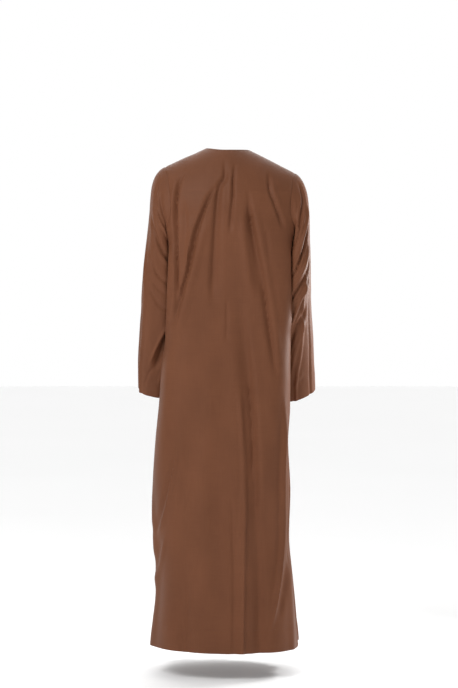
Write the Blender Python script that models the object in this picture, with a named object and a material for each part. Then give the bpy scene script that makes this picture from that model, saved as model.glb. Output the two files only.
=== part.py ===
"""A long collarless robe, held in the hollow form that it has when worn.

Metres, +Z up. The front faces -Y and the back +Y. +X is the wearer's left. The origin lies between
the shoulders, at the height of the neck's sides, where the wearer's shoulders carry the cloth.

The body cloth is one smooth surface, body_point(girth, rise), cut into panels along its seams.
Girth is an angle round the body: 0 is the centre of the back, 90 the left side, 180 the centre of
the front and -90 the right side. Rise is the height above the blade line for what hangs below it,
and above it the distance gone up the arch of the shoulder, which is 0 to ARCH.
"""

import math
from collections import namedtuple

import bpy
import numpy as np

# Sizes of the cloth
CLOTH = 0.0015
SEAM_GAP = 0.0003
LAYER_GAP = 0.0003

# Heights below the neck's sides
BLADE_Z = -0.190
UNDERARM_Z = -0.280
CHEST_Z = -0.330
HIP_Z = -0.640
HEM_Z = -1.455
HEM_RISE_LEFT = 0.006
YOKE_SEAM_Z = -0.128

# Shoulders: the ridge falls from a rounded virtual peak inside the neck
RIDGE_PEAK_Z = 0.0233
RIDGE_ROUND = 0.030
SHOULDER_SLOPE = {"left": 0.459, "right": 0.525}
RIDGE_Y = -0.008
ARCH = 0.24
BACK_ARCH_POWER = 1.8
FRONT_ARCH_POWER = 1.35
SHOULDER_X = {"left": 0.181, "right": 0.200}
BLADE_SEAM_X = {"left": 0.163, "right": 0.187}

# Neck and front opening
NECK_X = {"left": 0.0605, "right": 0.068}
BACK_NECK_Z = -0.003
FRONT_NECK_Z = -0.082
SLIT_END_Z = -0.405
SLIT_WIDTH = 0.0012
PLACKET_WIDTH = 0.034
PLACKET_END_Z = -0.430
PLACKET_CLOTH = 0.0016

# Buttons
BUTTON_RADIUS = 0.0057
BUTTON_THICK = 0.0024
BUTTON_FIRST_Z = -0.100
BUTTON_PITCH = 0.080
BUTTON_COUNT = 4

# The body's sections. Half widths are to the wearer's left and right, depths from the middle plane.
Section = namedtuple("Section", "z left right back front power")
BODY_SECTIONS = (
    Section(-0.190, 0.222, 0.238, 0.126, 0.116, 2.20),
    Section(-0.280, 0.163, 0.187, 0.131, 0.128, 2.55),
    Section(-0.330, 0.166, 0.189, 0.131, 0.131, 3.10),
    Section(-0.390, 0.164, 0.189, 0.132, 0.134, 3.40),
    Section(-0.470, 0.163, 0.188, 0.134, 0.138, 3.40),
    Section(-0.560, 0.184, 0.188, 0.139, 0.143, 3.20),
    Section(-0.637, 0.199, 0.187, 0.145, 0.148, 2.95),
    Section(-0.740, 0.200, 0.185, 0.154, 0.155, 2.75),
    Section(-0.860, 0.209, 0.179, 0.164, 0.163, 2.60),
    Section(-1.000, 0.220, 0.186, 0.175, 0.174, 2.50),
    Section(-1.150, 0.215, 0.181, 0.187, 0.188, 2.45),
    Section(-1.290, 0.208, 0.193, 0.198, 0.202, 2.40),
    Section(-1.390, 0.218, 0.203, 0.207, 0.211, 2.35),
    Section(-1.470, 0.226, 0.210, 0.213, 0.217, 2.30),
)

# Folds of the body. Across is x on the back and front faces and y on the sides, at the fold's top,
# middle and end. Width is the half width of the trough or ridge, and a negative depth is a trough.
Fold = namedtuple("Fold", "name face top end across_top across_mid across_end width depth")
BODY_FOLDS = (
    Fold("left_blade", "back", -0.060, -0.330, 0.120, 0.150, 0.148, 0.018, -0.0060),
    Fold("left_hollow", "back", -0.180, -0.520, 0.146, 0.142, 0.160, 0.022, -0.0080),
    Fold("spine_long", "back", -0.090, -0.520, 0.026, 0.041, 0.044, 0.018, -0.0060),
    Fold("left_diagonal", "back", -0.120, -0.560, 0.050, 0.108, 0.160, 0.022, -0.0070),
    Fold("left_diagonal_ridge", "back", -0.200, -0.580, 0.060, 0.098, 0.140, 0.022, 0.0050),
    Fold("right_long", "back", -0.130, -0.720, -0.058, -0.088, -0.140, 0.022, -0.0075),
    Fold("right_blade", "back", -0.080, -0.300, -0.118, -0.128, -0.165, 0.018, -0.0050),
    Fold("centre_skirt", "back", -0.500, -1.900, -0.057, -0.068, -0.030, 0.026, -0.0130),
    Fold("centre_skirt_ridge", "back", -0.700, -1.900, -0.018, -0.026, -0.002, 0.022, 0.0070),
    Fold("right_skirt_hollow", "back", -0.950, -2.000, -0.115, -0.110, -0.100, 0.034, -0.0080),
    Fold("right_corner", "back", -0.980, -1.800, -0.160, -0.150, -0.120, 0.024, 0.0090),
    Fold("left_skirt_soft", "back", -0.800, -1.900, 0.100, 0.118, 0.120, 0.032, -0.0070),
    Fold("left_corner", "back", -0.840, -1.300, 0.140, 0.170, 0.190, 0.022, 0.0060),
    Fold("left_skirt_broad", "back", -0.600, -1.900, 0.040, 0.055, 0.060, 0.040, 0.0060),
    Fold("left_side_skirt", "left", -0.880, -1.900, -0.050, -0.045, -0.020, 0.034, -0.0160),
    Fold("left_side_ridge", "left", -0.950, -1.900, 0.060, 0.070, 0.085, 0.034, 0.0090),
    Fold("right_side_skirt", "right", -0.900, -1.900, 0.030, 0.015, -0.010, 0.034, -0.0150),
    Fold("right_side_ridge", "right", -0.950, -1.900, -0.085, -0.080, -0.075, 0.034, 0.0110),
    Fold("front_left_long", "front", -0.300, -1.900, 0.092, 0.110, 0.098, 0.030, -0.0120),
    Fold("front_left_ridge", "front", -0.480, -1.900, 0.050, 0.056, 0.046, 0.028, 0.0080),
    Fold("front_right_long", "front", -0.340, -1.900, -0.080, -0.096, -0.110, 0.030, -0.0130),
    Fold("front_right_ridge", "front", -0.500, -1.900, -0.040, -0.044, -0.056, 0.028, 0.0080),
    Fold("front_centre", "front", -0.640, -1.900, 0.010, 0.004, -0.008, 0.028, -0.0100),
    Fold("front_left_chest", "front", -0.110, -0.360, 0.108, 0.120, 0.138, 0.018, -0.0050),
    Fold("front_right_chest", "front", -0.110, -0.380, -0.112, -0.126, -0.150, 0.018, -0.0050),
    Fold("front_right_outer", "front", -0.760, -1.900, -0.148, -0.154, -0.162, 0.026, -0.0100),
    Fold("front_left_outer", "front", -0.800, -1.900, 0.155, 0.166, 0.172, 0.026, -0.0090),
)
FADE = 0.28
FLANK = 0.55

# Rings of the sleeves below the armhole: the ring's middle, half width along x, half depth along y,
# how far its plane tips up at the front and leans down to the body, in degrees, and its power.
Ring = namedtuple("Ring", "x y z half_x half_y tip lean power")
SLEEVE_RINGS = {
    "left": (
        Ring(0.1955, 0.002, -0.245, 0.0290, 0.086, 4, 62, 2.2),
        Ring(0.1975, 0.004, -0.345, 0.0420, 0.083, 4, 18, 2.2),
        Ring(0.2003, -0.004, -0.450, 0.0467, 0.076, 8, 8, 2.2),
        Ring(0.2098, -0.030, -0.580, 0.0467, 0.069, 15, 8, 2.2),
        Ring(0.2190, -0.064, -0.705, 0.0410, 0.063, 20, 12, 2.2),
    ),
    "right": (
        Ring(0.2160, 0.002, -0.245, 0.0265, 0.086, 4, 62, 2.2),
        Ring(0.2123, 0.004, -0.345, 0.0332, 0.084, 4, 18, 2.2),
        Ring(0.2110, -0.004, -0.450, 0.0360, 0.078, 8, 8, 2.2),
        Ring(0.2168, -0.028, -0.580, 0.0397, 0.070, 14, 8, 2.2),
        Ring(0.2238, -0.060, -0.714, 0.0397, 0.063, 19, 14, 2.2),
    ),
}
# How far the cloth runs straight on from the armhole seam, on top of the shoulder, at the back and
# front, and under the arm, and how far it comes straight into the first ring.
CAP_START = {"left": (0.120, 0.050, 0.030), "right": (0.150, 0.050, 0.030)}
CAP_END = (0.120, 0.070, 0.030)
# The body's side gives way to the arm: how far it stays off the sleeve, how softly, where that
# starts, and how fast it comes out again beyond the sleeve's edges.
ARM_CLEARANCE = 0.0045
ARM_SOFT = 0.0040
ARM_START_Z = -0.312
ARM_RELEASE_SIDE = 1.5
ARM_RELEASE_BELOW = 0.30
ARM_RELEASE_ABOVE = 0.35

# Folds of the sleeves: from one place to another by height and by the angle round the sleeve, where
# 0 is its outer side, 90 its back, 180 its inner side and -90 its front.
Crease = namedtuple("Crease", "name z_from angle_from z_to angle_to width depth")
SLEEVE_CREASES = {
    "left": (
        Crease("underarm_upper", -0.120, 55, -0.275, 150, 0.011, -0.0050),
        Crease("underarm_lower", -0.190, 40, -0.340, 150, 0.011, -0.0050),
        Crease("elbow_upper", -0.300, 40, -0.420, 150, 0.013, -0.0050),
        Crease("elbow_main", -0.610, 70, -0.470, 165, 0.018, -0.0100),
        Crease("elbow_front", -0.400, -120, -0.470, -40, 0.014, -0.0060),
        Crease("elbow_front_low", -0.450, -150, -0.520, -60, 0.014, -0.0060),
        Crease("cap_back", -0.085, 60, -0.200, 95, 0.010, -0.0040),
    ),
    "right": (
        Crease("underarm_upper", -0.110, 50, -0.270, 150, 0.011, -0.0060),
        Crease("underarm_lower", -0.205, 30, -0.365, 150, 0.015, -0.0055),
        Crease("elbow_upper", -0.290, 30, -0.440, 150, 0.013, -0.0070),
        Crease("elbow_main", -0.600, 130, -0.400, 60, 0.016, -0.0080),
        Crease("forearm", -0.700, 140, -0.520, 70, 0.014, -0.0060),
        Crease("elbow_front", -0.390, -120, -0.460, -40, 0.014, -0.0060),
        Crease("elbow_front_low", -0.450, -150, -0.520, -60, 0.014, -0.0060),
        Crease("cap_back", -0.080, 60, -0.190, 95, 0.009, -0.0040),
    ),
}

# How finely the pieces are divided
NECK_COLUMNS = 5
NECK_COLUMN_SWEEP = 65
SHOULDER_COLUMNS = 6
SIDE_COLUMNS = 6
SKIRT_ROWS = 13
HIP_ROWS = 6
WAIST_ROWS = 3
UNDERARM_ROWS = 6
BACK_CHEST_ROWS = 3
FRONT_CHEST_ROWS = 7
YOKE_ROWS = 4
YOKE_FRONT_ROWS = 2
CAP_ROWS = 7
SLEEVE_ROWS = 11
BUTTON_SIDES = 16

CLOTH_COLOUR = (0.190, 0.070, 0.036, 1.0)
BUTTON_COLOUR = (0.110, 0.045, 0.026, 1.0)


def spread(low, high, share):
    return low + (high - low) * share


def ease(share):
    """Smooth step from 0 to 1."""
    held = np.clip(share, 0.0, 1.0)
    return held * held * (3.0 - 2.0 * held)


def smooth_column(rows, column, key, at):
    """A smooth curve through one column of a table whose rows fall in the key."""
    keys = np.array([getattr(row, key) for row in rows])[::-1]
    values = np.array([getattr(row, column) for row in rows])[::-1]
    at = np.clip(at, keys[0], keys[-1])
    spans = np.diff(keys)
    rises = np.diff(values) / spans
    slopes = np.zeros(len(keys))
    same_way = rises[:-1] * rises[1:] > 0
    weights = 2.0 * rises[:-1] * rises[1:] / np.where(same_way, rises[:-1] + rises[1:], 1.0)
    slopes[1:-1] = np.where(same_way, weights, 0.0)
    slopes[0] = rises[0]
    i = np.clip(np.searchsorted(keys, at, side="right") - 1, 0, len(spans) - 1)
    t = (at - keys[i]) / spans[i]
    h00 = (1.0 + 2.0 * t) * (1.0 - t) ** 2
    h10 = t * (1.0 - t) ** 2
    h01 = t * t * (3.0 - 2.0 * t)
    h11 = t * t * (t - 1.0)
    start = h00 * values[i] + h10 * spans[i] * slopes[i]
    return start + h01 * values[i + 1] + h11 * spans[i] * slopes[i + 1]


def by_side(x, values):
    """The left or the right value, by the sign of x."""
    return np.where(x >= 0.0, values["left"], values["right"])


def ridge_z(x):
    """Height of the shoulder ridge over a place across the body."""
    slope = by_side(x, SHOULDER_SLOPE)
    return RIDGE_PEAK_Z - slope * (np.sqrt(x * x + RIDGE_ROUND**2) - RIDGE_ROUND)


def oval(girth, power):
    """(across, back) on a superellipse of half width and half depth 1."""
    angle = np.radians(girth)
    s, c = np.sin(angle), np.cos(angle)
    reach = (np.abs(s) ** power + np.abs(c) ** power) ** (-1.0 / power)
    return s * reach, c * reach


def ring_values(side, z):
    """The sleeve's ring at a height."""
    return {name: smooth_column(SLEEVE_RINGS[side], name, "z", z) for name in Ring._fields}


def arm_limit(side, y, z):
    """How far out the body may reach beside the sleeve."""
    rings = SLEEVE_RINGS[side]
    ring = ring_values(side, z)
    for _ in range(2):
        tip, lean = np.tan(np.radians(ring["tip"])), np.tan(np.radians(ring["lean"]))
        level = z + tip * (y - ring["y"]) + lean * ring["half_x"]
        ring = ring_values(side, level)
    half_x, half_y = ring["half_x"] + ARM_CLEARANCE, ring["half_y"] + ARM_CLEARANCE
    off = np.abs(y - ring["y"])
    inside = ring["x"] - half_x * (1.0 - np.clip(off / half_y, 0.0, 1.0) ** 2) ** 0.5
    beside = ring["x"] + ARM_RELEASE_SIDE * (off - half_y)
    below = ARM_RELEASE_BELOW * np.maximum(rings[-1].z - level, 0.0)
    above = ARM_RELEASE_ABOVE * np.maximum(z - ARM_START_Z, 0.0)
    return np.where(off < half_y, inside, beside) + below + above


def softly_least(value, limit, soft):
    """The lesser of two values, rounded where they meet."""
    gap = (value - limit) / soft
    return value - soft * np.logaddexp(0.0, gap)


def base_body(girth, rise):
    """The body's surface without its folds."""
    z_low = BLADE_Z + np.minimum(rise, 0.0)
    power = smooth_column(BODY_SECTIONS, "power", "z", z_low)
    across, back = oval(girth, power)
    left = smooth_column(BODY_SECTIONS, "left", "z", z_low)
    right = smooth_column(BODY_SECTIONS, "right", "z", z_low)
    x = across * np.where(across >= 0.0, left, right)
    depth = np.where(
        back >= 0.0,
        smooth_column(BODY_SECTIONS, "back", "z", z_low),
        smooth_column(BODY_SECTIONS, "front", "z", z_low),
    )
    climb = np.clip(rise / ARCH, 0.0, 1.0) * math.pi / 2.0
    bend = np.where(back >= 0.0, BACK_ARCH_POWER, FRONT_ARCH_POWER)
    up = np.sin(climb) ** (2.0 / bend)
    out = np.maximum(np.cos(climb), 0.0) ** (2.0 / bend)
    hem_lift = HEM_RISE_LEFT * ease((BLADE_Z - z_low) / (BLADE_Z - HEM_Z)) * np.clip(across, 0.0, 1.0)
    y = RIDGE_Y * up + depth * back * out
    limit = np.where(x >= 0.0, arm_limit("left", y, z_low), arm_limit("right", y, z_low))
    given = softly_least(np.abs(x), limit, ARM_SOFT)
    x = np.where(rise < 0.0, np.sign(x) * given, x)
    z = np.where(rise > 0.0, BLADE_Z + (ridge_z(x) - BLADE_Z) * up, z_low + hem_lift)
    return np.stack([x, y, z], axis=-1)


def normals_of(surface, u, v, du, dv):
    """Unit normals of surface(u, v), by differences."""
    along_u = surface(u + du, v) - surface(u - du, v)
    along_v = surface(u, v + dv) - surface(u, v - dv)
    crossed = np.cross(along_u, along_v)
    return crossed / np.maximum(np.linalg.norm(crossed, axis=-1, keepdims=True), 1e-12)


def body_normals(surface, girth, rise):
    """Outward normals of the body, kept off the crest of the ridge where its arch folds over."""
    held = np.minimum(rise, ARCH - 0.004)
    return -normals_of(surface, girth, held, 0.4, 0.002)


def path_at(share, first, middle, last):
    """A parabola through three values, at 0, one half and 1."""
    bend = 2.0 * (first - 2.0 * middle + last)
    return first + share * (4.0 * middle - 3.0 * first - last) + share**2 * bend


def fold_shape(distance, width):
    """A soft trough or ridge with low flanks the other way."""
    q = (distance / width) ** 2
    return (1.0 - FLANK * q) * np.exp(-q)


def body_relief(place, girth):
    """How far the folds move the body's surface out."""
    x, y, z = place[..., 0], place[..., 1], place[..., 2]
    across, back = oval(girth, 2.0)
    facing = {"back": back, "front": -back, "left": across, "right": -across}
    total = np.zeros_like(z)
    for fold in BODY_FOLDS:
        share = (fold.top - z) / (fold.top - fold.end)
        held = np.clip(share, 0.0, 1.0)
        middle = path_at(held, fold.across_top, fold.across_mid, fold.across_end)
        slope = (path_at(held + 0.01, fold.across_top, fold.across_mid, fold.across_end) - middle) / (
            0.01 * (fold.top - fold.end)
        )
        here = x if fold.face in ("back", "front") else y
        distance = (here - middle) / np.sqrt(1.0 + slope**2)
        along = ease(share / FADE) * ease((1.0 - share) / FADE)
        seen = ease(facing[fold.face] / 0.35)
        total += fold.depth * along * seen * fold_shape(distance, fold.width)
    return total


def body_point(girth, rise):
    """The outer surface of the body cloth."""
    girth, rise = np.broadcast_arrays(np.asarray(girth, float), np.asarray(rise, float))
    base = base_body(girth, rise)
    out = body_normals(base_body, girth, rise)
    return base + out * body_relief(base, girth)[..., None]


def body_out(girth, rise):
    """Outward normals of the folded cloth."""
    girth, rise = np.broadcast_arrays(np.asarray(girth, float), np.asarray(rise, float))
    return body_normals(body_point, girth, rise)


def girth_of(x, half, power):
    """Girth angle on the back at which the section is x across."""
    across = np.clip(np.abs(x) / half, 0.0, 1.0)
    back = (1.0 - across**power) ** (1.0 / power)
    return np.degrees(np.arctan2(across, back)) * np.sign(x)


def rise_at(x, z, bend):
    """How far up the arch the surface reaches a height, at a place across the body."""
    up = np.clip((z - BLADE_Z) / (ridge_z(x) - BLADE_Z), 0.0, 1.0)
    return ARCH * np.arcsin(up ** (bend / 2.0)) * 2.0 / math.pi


TOP = BODY_SECTIONS[0]
TOP_HALF = {"left": TOP.left, "right": TOP.right}
FRONT_YOKE_RISE = ARCH - 0.052


def armhole_girth(side, rise):
    """Girth from the centre of the back to the armhole seam above the blade line, as a positive angle."""
    half = TOP_HALF[side]
    across = spread(BLADE_SEAM_X[side], SHOULDER_X[side], ease(np.asarray(rise, float) / ARCH)) / half
    back = (1.0 - across**TOP.power) ** (1.0 / TOP.power)
    return np.degrees(np.arctan2(across, back))


def underarm_rise(side, girth):
    """Rise of the armhole seam where it curves under the arm, at a girth between the blade and the side."""
    _, back = oval(girth, TOP.power)
    _, blade_back = oval(armhole_girth(side, 0.0), TOP.power)
    curve = np.sqrt(np.maximum(1.0 - (back / blade_back) ** 2, 0.0))
    return (UNDERARM_Z - BLADE_Z) * curve


def thick_grid(outer, out, thick, kept=None):
    """A closed wall below a grid of outer points. Cells where kept is False are left open."""
    rows, columns = outer.shape[:2]
    inner = outer - out * thick
    cells = np.ones((rows - 1, columns - 1), bool) if kept is None else kept
    points = np.concatenate([outer.reshape(-1, 3), inner.reshape(-1, 3)])
    below = rows * columns
    faces = []
    for i in range(rows - 1):
        for j in range(columns - 1):
            if not cells[i, j]:
                continue
            a, b = i * columns + j, i * columns + j + 1
            c, d = b + columns, a + columns
            faces += [(a, b, c), (a, c, d)]
            faces += [(below + c, below + b, below + a), (below + d, below + c, below + a)]
            sides = (
                (a, b, i > 0 and cells[i - 1, j]),
                (b, c, j < columns - 2 and cells[i, j + 1]),
                (c, d, i < rows - 2 and cells[i + 1, j]),
                (d, a, j > 0 and cells[i, j - 1]),
            )
            for first, second, joined in sides:
                if not joined:
                    faces.append((second, first, below + first, below + second))
    used = sorted({v for face in faces for v in face})
    place = {v: n for n, v in enumerate(used)}
    return points[used], [tuple(place[v] for v in face) for face in faces]


def thick_tube(outer, out, thick):
    """A closed wall round a tube: rows of rings, each ring closed."""
    rings, around = outer.shape[:2]
    inner = outer - out * thick
    points = np.concatenate([outer.reshape(-1, 3), inner.reshape(-1, 3)])
    below = rings * around
    faces = []
    for i in range(rings - 1):
        for j in range(around):
            k = (j + 1) % around
            a, b = i * around + j, i * around + k
            c, d = b + around, a + around
            faces += [(a, b, c), (a, c, d)]
            faces += [(below + c, below + b, below + a), (below + d, below + c, below + a)]
    last = (rings - 1) * around
    for j in range(around):
        k = (j + 1) % around
        faces.append((k, j, below + j, below + k))
        faces.append((last + j, last + k, below + last + k, below + last + j))
    return points, faces


def cloth_material(name, colour, roughness):
    material = bpy.data.materials.new(name)
    material.use_nodes = True
    shader = material.node_tree.nodes["Principled BSDF"]
    shader.inputs["Base Color"].default_value = colour
    shader.inputs["Roughness"].default_value = roughness
    shader.inputs["Metallic"].default_value = 0.0
    return material


def add_object(name, points, faces, material):
    """A mesh object whose faces point out, shaded smooth."""
    mesh = bpy.data.meshes.new(name)
    mesh.from_pydata([tuple(p) for p in points], [], faces)
    mesh.validate()
    corners = np.array([tuple(p) for p in points])
    mesh.calc_loop_triangles()
    triangles = np.array([tuple(t.vertices) for t in mesh.loop_triangles])
    a, b, c = (corners[triangles[:, n]] for n in range(3))
    if float((a * np.cross(b, c)).sum()) < 0.0:
        mesh.flip_normals()
    mesh.shade_smooth()
    mesh.set_sharp_from_angle(angle=math.radians(50))
    mesh.materials.append(material)
    made = bpy.data.objects.new(name, mesh)
    bpy.context.scene.collection.objects.link(made)
    return made


def drawn_in(outer, top=False, bottom=False, sides=False):
    """The grid with its seam edges drawn in by half the seam's gap."""
    moved = outer.copy()
    half = SEAM_GAP * 0.6

    def pull(edge, beside):
        step = beside - edge
        return edge + step / np.linalg.norm(step, axis=-1, keepdims=True) * half

    if bottom:
        moved[0] = pull(outer[0], outer[1])
    if top:
        moved[-1] = pull(outer[-1], outer[-2])
    if sides:
        moved[:, 0] = pull(moved[:, 0], moved[:, 1])
        moved[:, -1] = pull(moved[:, -1], moved[:, -2])
    return moved


def top_x(girth):
    """Place across the body of a back girth on the shoulder's arch."""
    across, _ = oval(girth, TOP.power)
    return across * np.where(across >= 0.0, TOP_HALF["left"], TOP_HALF["right"])


def neck_girth(side):
    """Back girth on the blade line of the column that reaches the neck's side on the ridge."""
    reached = float(girth_of(np.array(NECK_X[side]), TOP_HALF[side], TOP.power))
    return reached * float(armhole_girth(side, 0.0) / armhole_girth(side, ARCH))


def half_columns(side):
    """Back girths on the blade line from the centre out: over the neck, the shoulder and the side."""
    edge = float(armhole_girth(side, 0.0))
    neck = neck_girth(side)
    sweep = math.radians(NECK_COLUMN_SWEEP)
    across_neck = np.sin(np.linspace(0.0, sweep, NECK_COLUMNS + 1)) / math.sin(sweep) * neck
    across_shoulder = np.linspace(neck, edge, SHOULDER_COLUMNS + 1)[1:]
    to_side = np.linspace(edge, 90.0, SIDE_COLUMNS + 1)[1:]
    return np.concatenate([across_neck, across_shoulder, to_side])


def both_halves(values):
    """A row from the right side over the centre to the left, from half rows that start at the centre."""
    return np.concatenate([-values["right"][::-1], values["left"][1:]])


SLIT_ROW = SKIRT_ROWS + HIP_ROWS + 1
COLUMNS = both_halves({side: half_columns(side) for side in ("left", "right")})
CORE = slice(SIDE_COLUMNS, len(COLUMNS) - SIDE_COLUMNS)


def narrowed(girth, rise):
    """Girths moved in with the armhole seam as it climbs from the blade line to the shoulder."""
    left = armhole_girth("left", rise) / armhole_girth("left", 0.0)
    right = armhole_girth("right", rise) / armhole_girth("right", 0.0)
    return girth * np.where(girth >= 0.0, left, right)


def yoke_rise(girth):
    """Rise of the level seam between the back and the yoke, at a girth of the blade line."""
    rise = rise_at(top_x(girth), YOKE_SEAM_Z, BACK_ARCH_POWER)
    return rise_at(top_x(narrowed(girth, rise)), YOKE_SEAM_Z, BACK_ARCH_POWER)


def front_of(girth):
    """The girth on the front that faces a girth on the back."""
    return np.where(girth >= 0.0, 180.0 - girth, -180.0 - girth)


def blade_rise(girth):
    """Rise of the blade line, and of the armhole seam beyond it."""
    edge = np.where(girth >= 0.0, armhole_girth("left", 0.0), armhole_girth("right", 0.0))
    held = np.maximum(np.abs(girth), edge)
    curve = np.where(girth >= 0.0, underarm_rise("left", held), underarm_rise("right", held))
    return np.where(np.abs(girth) > edge + 1e-9, curve, 0.0)


def lower_rows(columns):
    """Rises of the rows from the hem up to the blade line and the armholes' lower curve."""
    skirt = spread(HEM_Z, HIP_Z, np.linspace(0.0, 1.0, SKIRT_ROWS + 1))
    hip = spread(HIP_Z, PLACKET_END_Z, np.linspace(0.0, 1.0, HIP_ROWS + 1))[1:]
    waist = spread(SLIT_END_Z, CHEST_Z, np.linspace(0.0, 1.0, WAIST_ROWS + 1))
    rows = [np.full(len(columns), z - BLADE_Z) for z in np.concatenate([skirt, hip, waist])]
    top = blade_rise(columns)
    rows += [spread(rows[-1], top, share) for share in np.linspace(0.0, 1.0, UNDERARM_ROWS + 1)[1:]]
    return rows


def panel(name, girth, rise, material, kept=None, **seams):
    """One cut piece of the body, as a wall inside the body's surface."""
    outer = drawn_in(body_point(girth, rise), **seams)
    return add_object(name, *thick_grid(outer, body_out(girth, rise), CLOTH, kept), material)


def held_in_core(columns):
    """Girths with those beyond the armhole held at its edge."""
    return np.clip(columns, -armhole_girth("right", 0.0), armhole_girth("left", 0.0))


def build_back(material):
    rows = lower_rows(COLUMNS)
    girth = [COLUMNS] * len(rows)
    seam = yoke_rise(held_in_core(COLUMNS))
    for share in np.linspace(0.0, 1.0, BACK_CHEST_ROWS + 1)[1:]:
        rows.append(seam * share)
        girth.append(narrowed(COLUMNS, seam * share))
    kept = np.ones((len(rows) - 1, len(COLUMNS) - 1), bool)
    kept[-BACK_CHEST_ROWS:, :SIDE_COLUMNS] = False
    kept[-BACK_CHEST_ROWS:, len(COLUMNS) - 1 - SIDE_COLUMNS :] = False
    panel("back_panel", np.array(girth), np.array(rows), material, kept, top=True, sides=True)


def neck_share(columns):
    """0 on the centre line to 1 at the neck's sides, and more beyond."""
    return np.abs(columns) / np.where(columns >= 0.0, neck_girth("left"), neck_girth("right"))


def back_neck_rise(columns):
    """Rise at which the back neckline cuts the arch, or the ridge beside the neck."""
    share = neck_share(columns)
    x = top_x(narrowed(columns, ARCH))
    side_z = ridge_z(np.where(x >= 0.0, NECK_X["left"], -NECK_X["right"]))
    z = spread(BACK_NECK_Z, side_z, np.clip(share, 0.0, 1.0) ** 2)
    return np.where(share > 0.999, ARCH, rise_at(x, z, BACK_ARCH_POWER))


def front_neck_rise(columns):
    """Rise at which the front neckline cuts the arch, or the yoke's front seam beside the neck."""
    share = np.clip(neck_share(columns), 0.0, 1.0)
    low = rise_at(top_x(columns), FRONT_NECK_Z, FRONT_ARCH_POWER)
    return spread(FRONT_YOKE_RISE, low, np.sqrt(1.0 - share**2))


def build_yoke(material):
    """The yoke lies over the shoulders, from the seam across the blades to just before the ridge."""
    columns = COLUMNS[CORE]
    girth, rise = [], []
    neck = back_neck_rise(columns)
    seam = yoke_rise(columns)
    for share in np.linspace(0.0, 1.0, YOKE_ROWS + 1):
        girth.append(narrowed(columns, spread(seam, ARCH, share)))
        rise.append(spread(seam, neck, share))
    for share in np.linspace(0.0, 1.0, YOKE_FRONT_ROWS + 1)[1:]:
        edge = spread(ARCH, FRONT_YOKE_RISE, share)
        girth.append(front_of(narrowed(columns, edge)))
        rise.append(np.full(len(columns), edge))
    kept = np.ones((len(girth) - 1, len(columns) - 1), bool)
    kept[YOKE_ROWS:, SHOULDER_COLUMNS : len(columns) - 1 - SHOULDER_COLUMNS] = False
    panel("back_yoke", np.array(girth), np.array(rise), material, kept, top=True, bottom=True)


def build_front(material):
    """The front is one piece with a slit down its centre from the neck. Returns its surface by the slit."""
    slit = math.degrees(math.asin(0.5 * SLIT_WIDTH / TOP.left))
    centre = len(COLUMNS) // 2
    columns = np.concatenate([COLUMNS[:centre], [-slit, slit], COLUMNS[centre + 1 :]])
    rows = lower_rows(columns)
    girth = [front_of(columns)] * len(rows)
    top = front_neck_rise(columns)
    for share in np.linspace(0.0, 1.0, FRONT_CHEST_ROWS + 1)[1:]:
        rows.append(top * share)
        girth.append(front_of(narrowed(columns, FRONT_YOKE_RISE * share)))
    kept = np.ones((len(rows) - 1, len(columns) - 1), bool)
    kept[-FRONT_CHEST_ROWS:, :SIDE_COLUMNS] = False
    kept[-FRONT_CHEST_ROWS:, len(columns) - 1 - SIDE_COLUMNS :] = False
    kept[SLIT_ROW:, centre] = False
    girth, rise = np.array(girth), np.array(rows)
    panel("front_panel", girth, rise, material, kept, top=True, sides=True)
    by_slit = slice(centre - 1, centre + 3)
    band = slice(SLIT_ROW - 1, None)
    return body_point(girth, rise)[band, by_slit], body_out(girth, rise)[band, by_slit]


def armhole_loop(side):
    """Girth and rise of the armhole seam: from the ridge down the back, under the arm and up the front."""
    edge = float(armhole_girth(side, 0.0))
    under = np.linspace(edge, 90.0, SIDE_COLUMNS + 1)
    seam = float(yoke_rise(np.array(edge if side == "left" else -edge)))
    yoke = spread(ARCH, seam, np.linspace(0.0, 1.0, YOKE_ROWS + 1))
    chest = spread(seam, 0.0, np.linspace(0.0, 1.0, BACK_CHEST_ROWS + 1))[1:]
    back_rises = np.concatenate([yoke, chest])
    front_rises = np.concatenate(
        [
            spread(0.0, FRONT_YOKE_RISE, np.linspace(0.0, 1.0, FRONT_CHEST_ROWS + 1))[1:],
            spread(FRONT_YOKE_RISE, ARCH, np.linspace(0.0, 1.0, YOKE_FRONT_ROWS + 1))[1:-1],
        ]
    )
    girth = [armhole_girth(side, back_rises), under[1:], 180.0 - under[::-1][1:]]
    girth.append(180.0 - armhole_girth(side, front_rises))
    rise = [back_rises, underarm_rise(side, under[1:]), underarm_rise(side, under[::-1][1:]), front_rises]
    sign = 1.0 if side == "left" else -1.0
    lowest = len(back_rises) + len(under) - 2
    return sign * np.concatenate(girth), np.concatenate(rise), lowest


def turned(loop_angle, even_angle, share):
    """Angles round the sleeve, easing from those of the armhole's points to evenly spaced ones."""
    return spread(loop_angle, even_angle, ease(share))


def loop_angles(points, lowest):
    """Angle round the sleeve of each armhole point by distance: 0 on the ridge, 180 under the arm."""
    steps = np.linalg.norm(np.roll(points, -1, axis=0) - points, axis=1)
    gone = np.concatenate([[0.0], np.cumsum(steps)])
    back = gone[: lowest + 1] / gone[lowest] * 180.0
    front = 180.0 + (gone[lowest + 1 : -1] - gone[lowest]) / (gone[-1] - gone[lowest]) * 180.0
    return np.concatenate([back, front])


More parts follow.
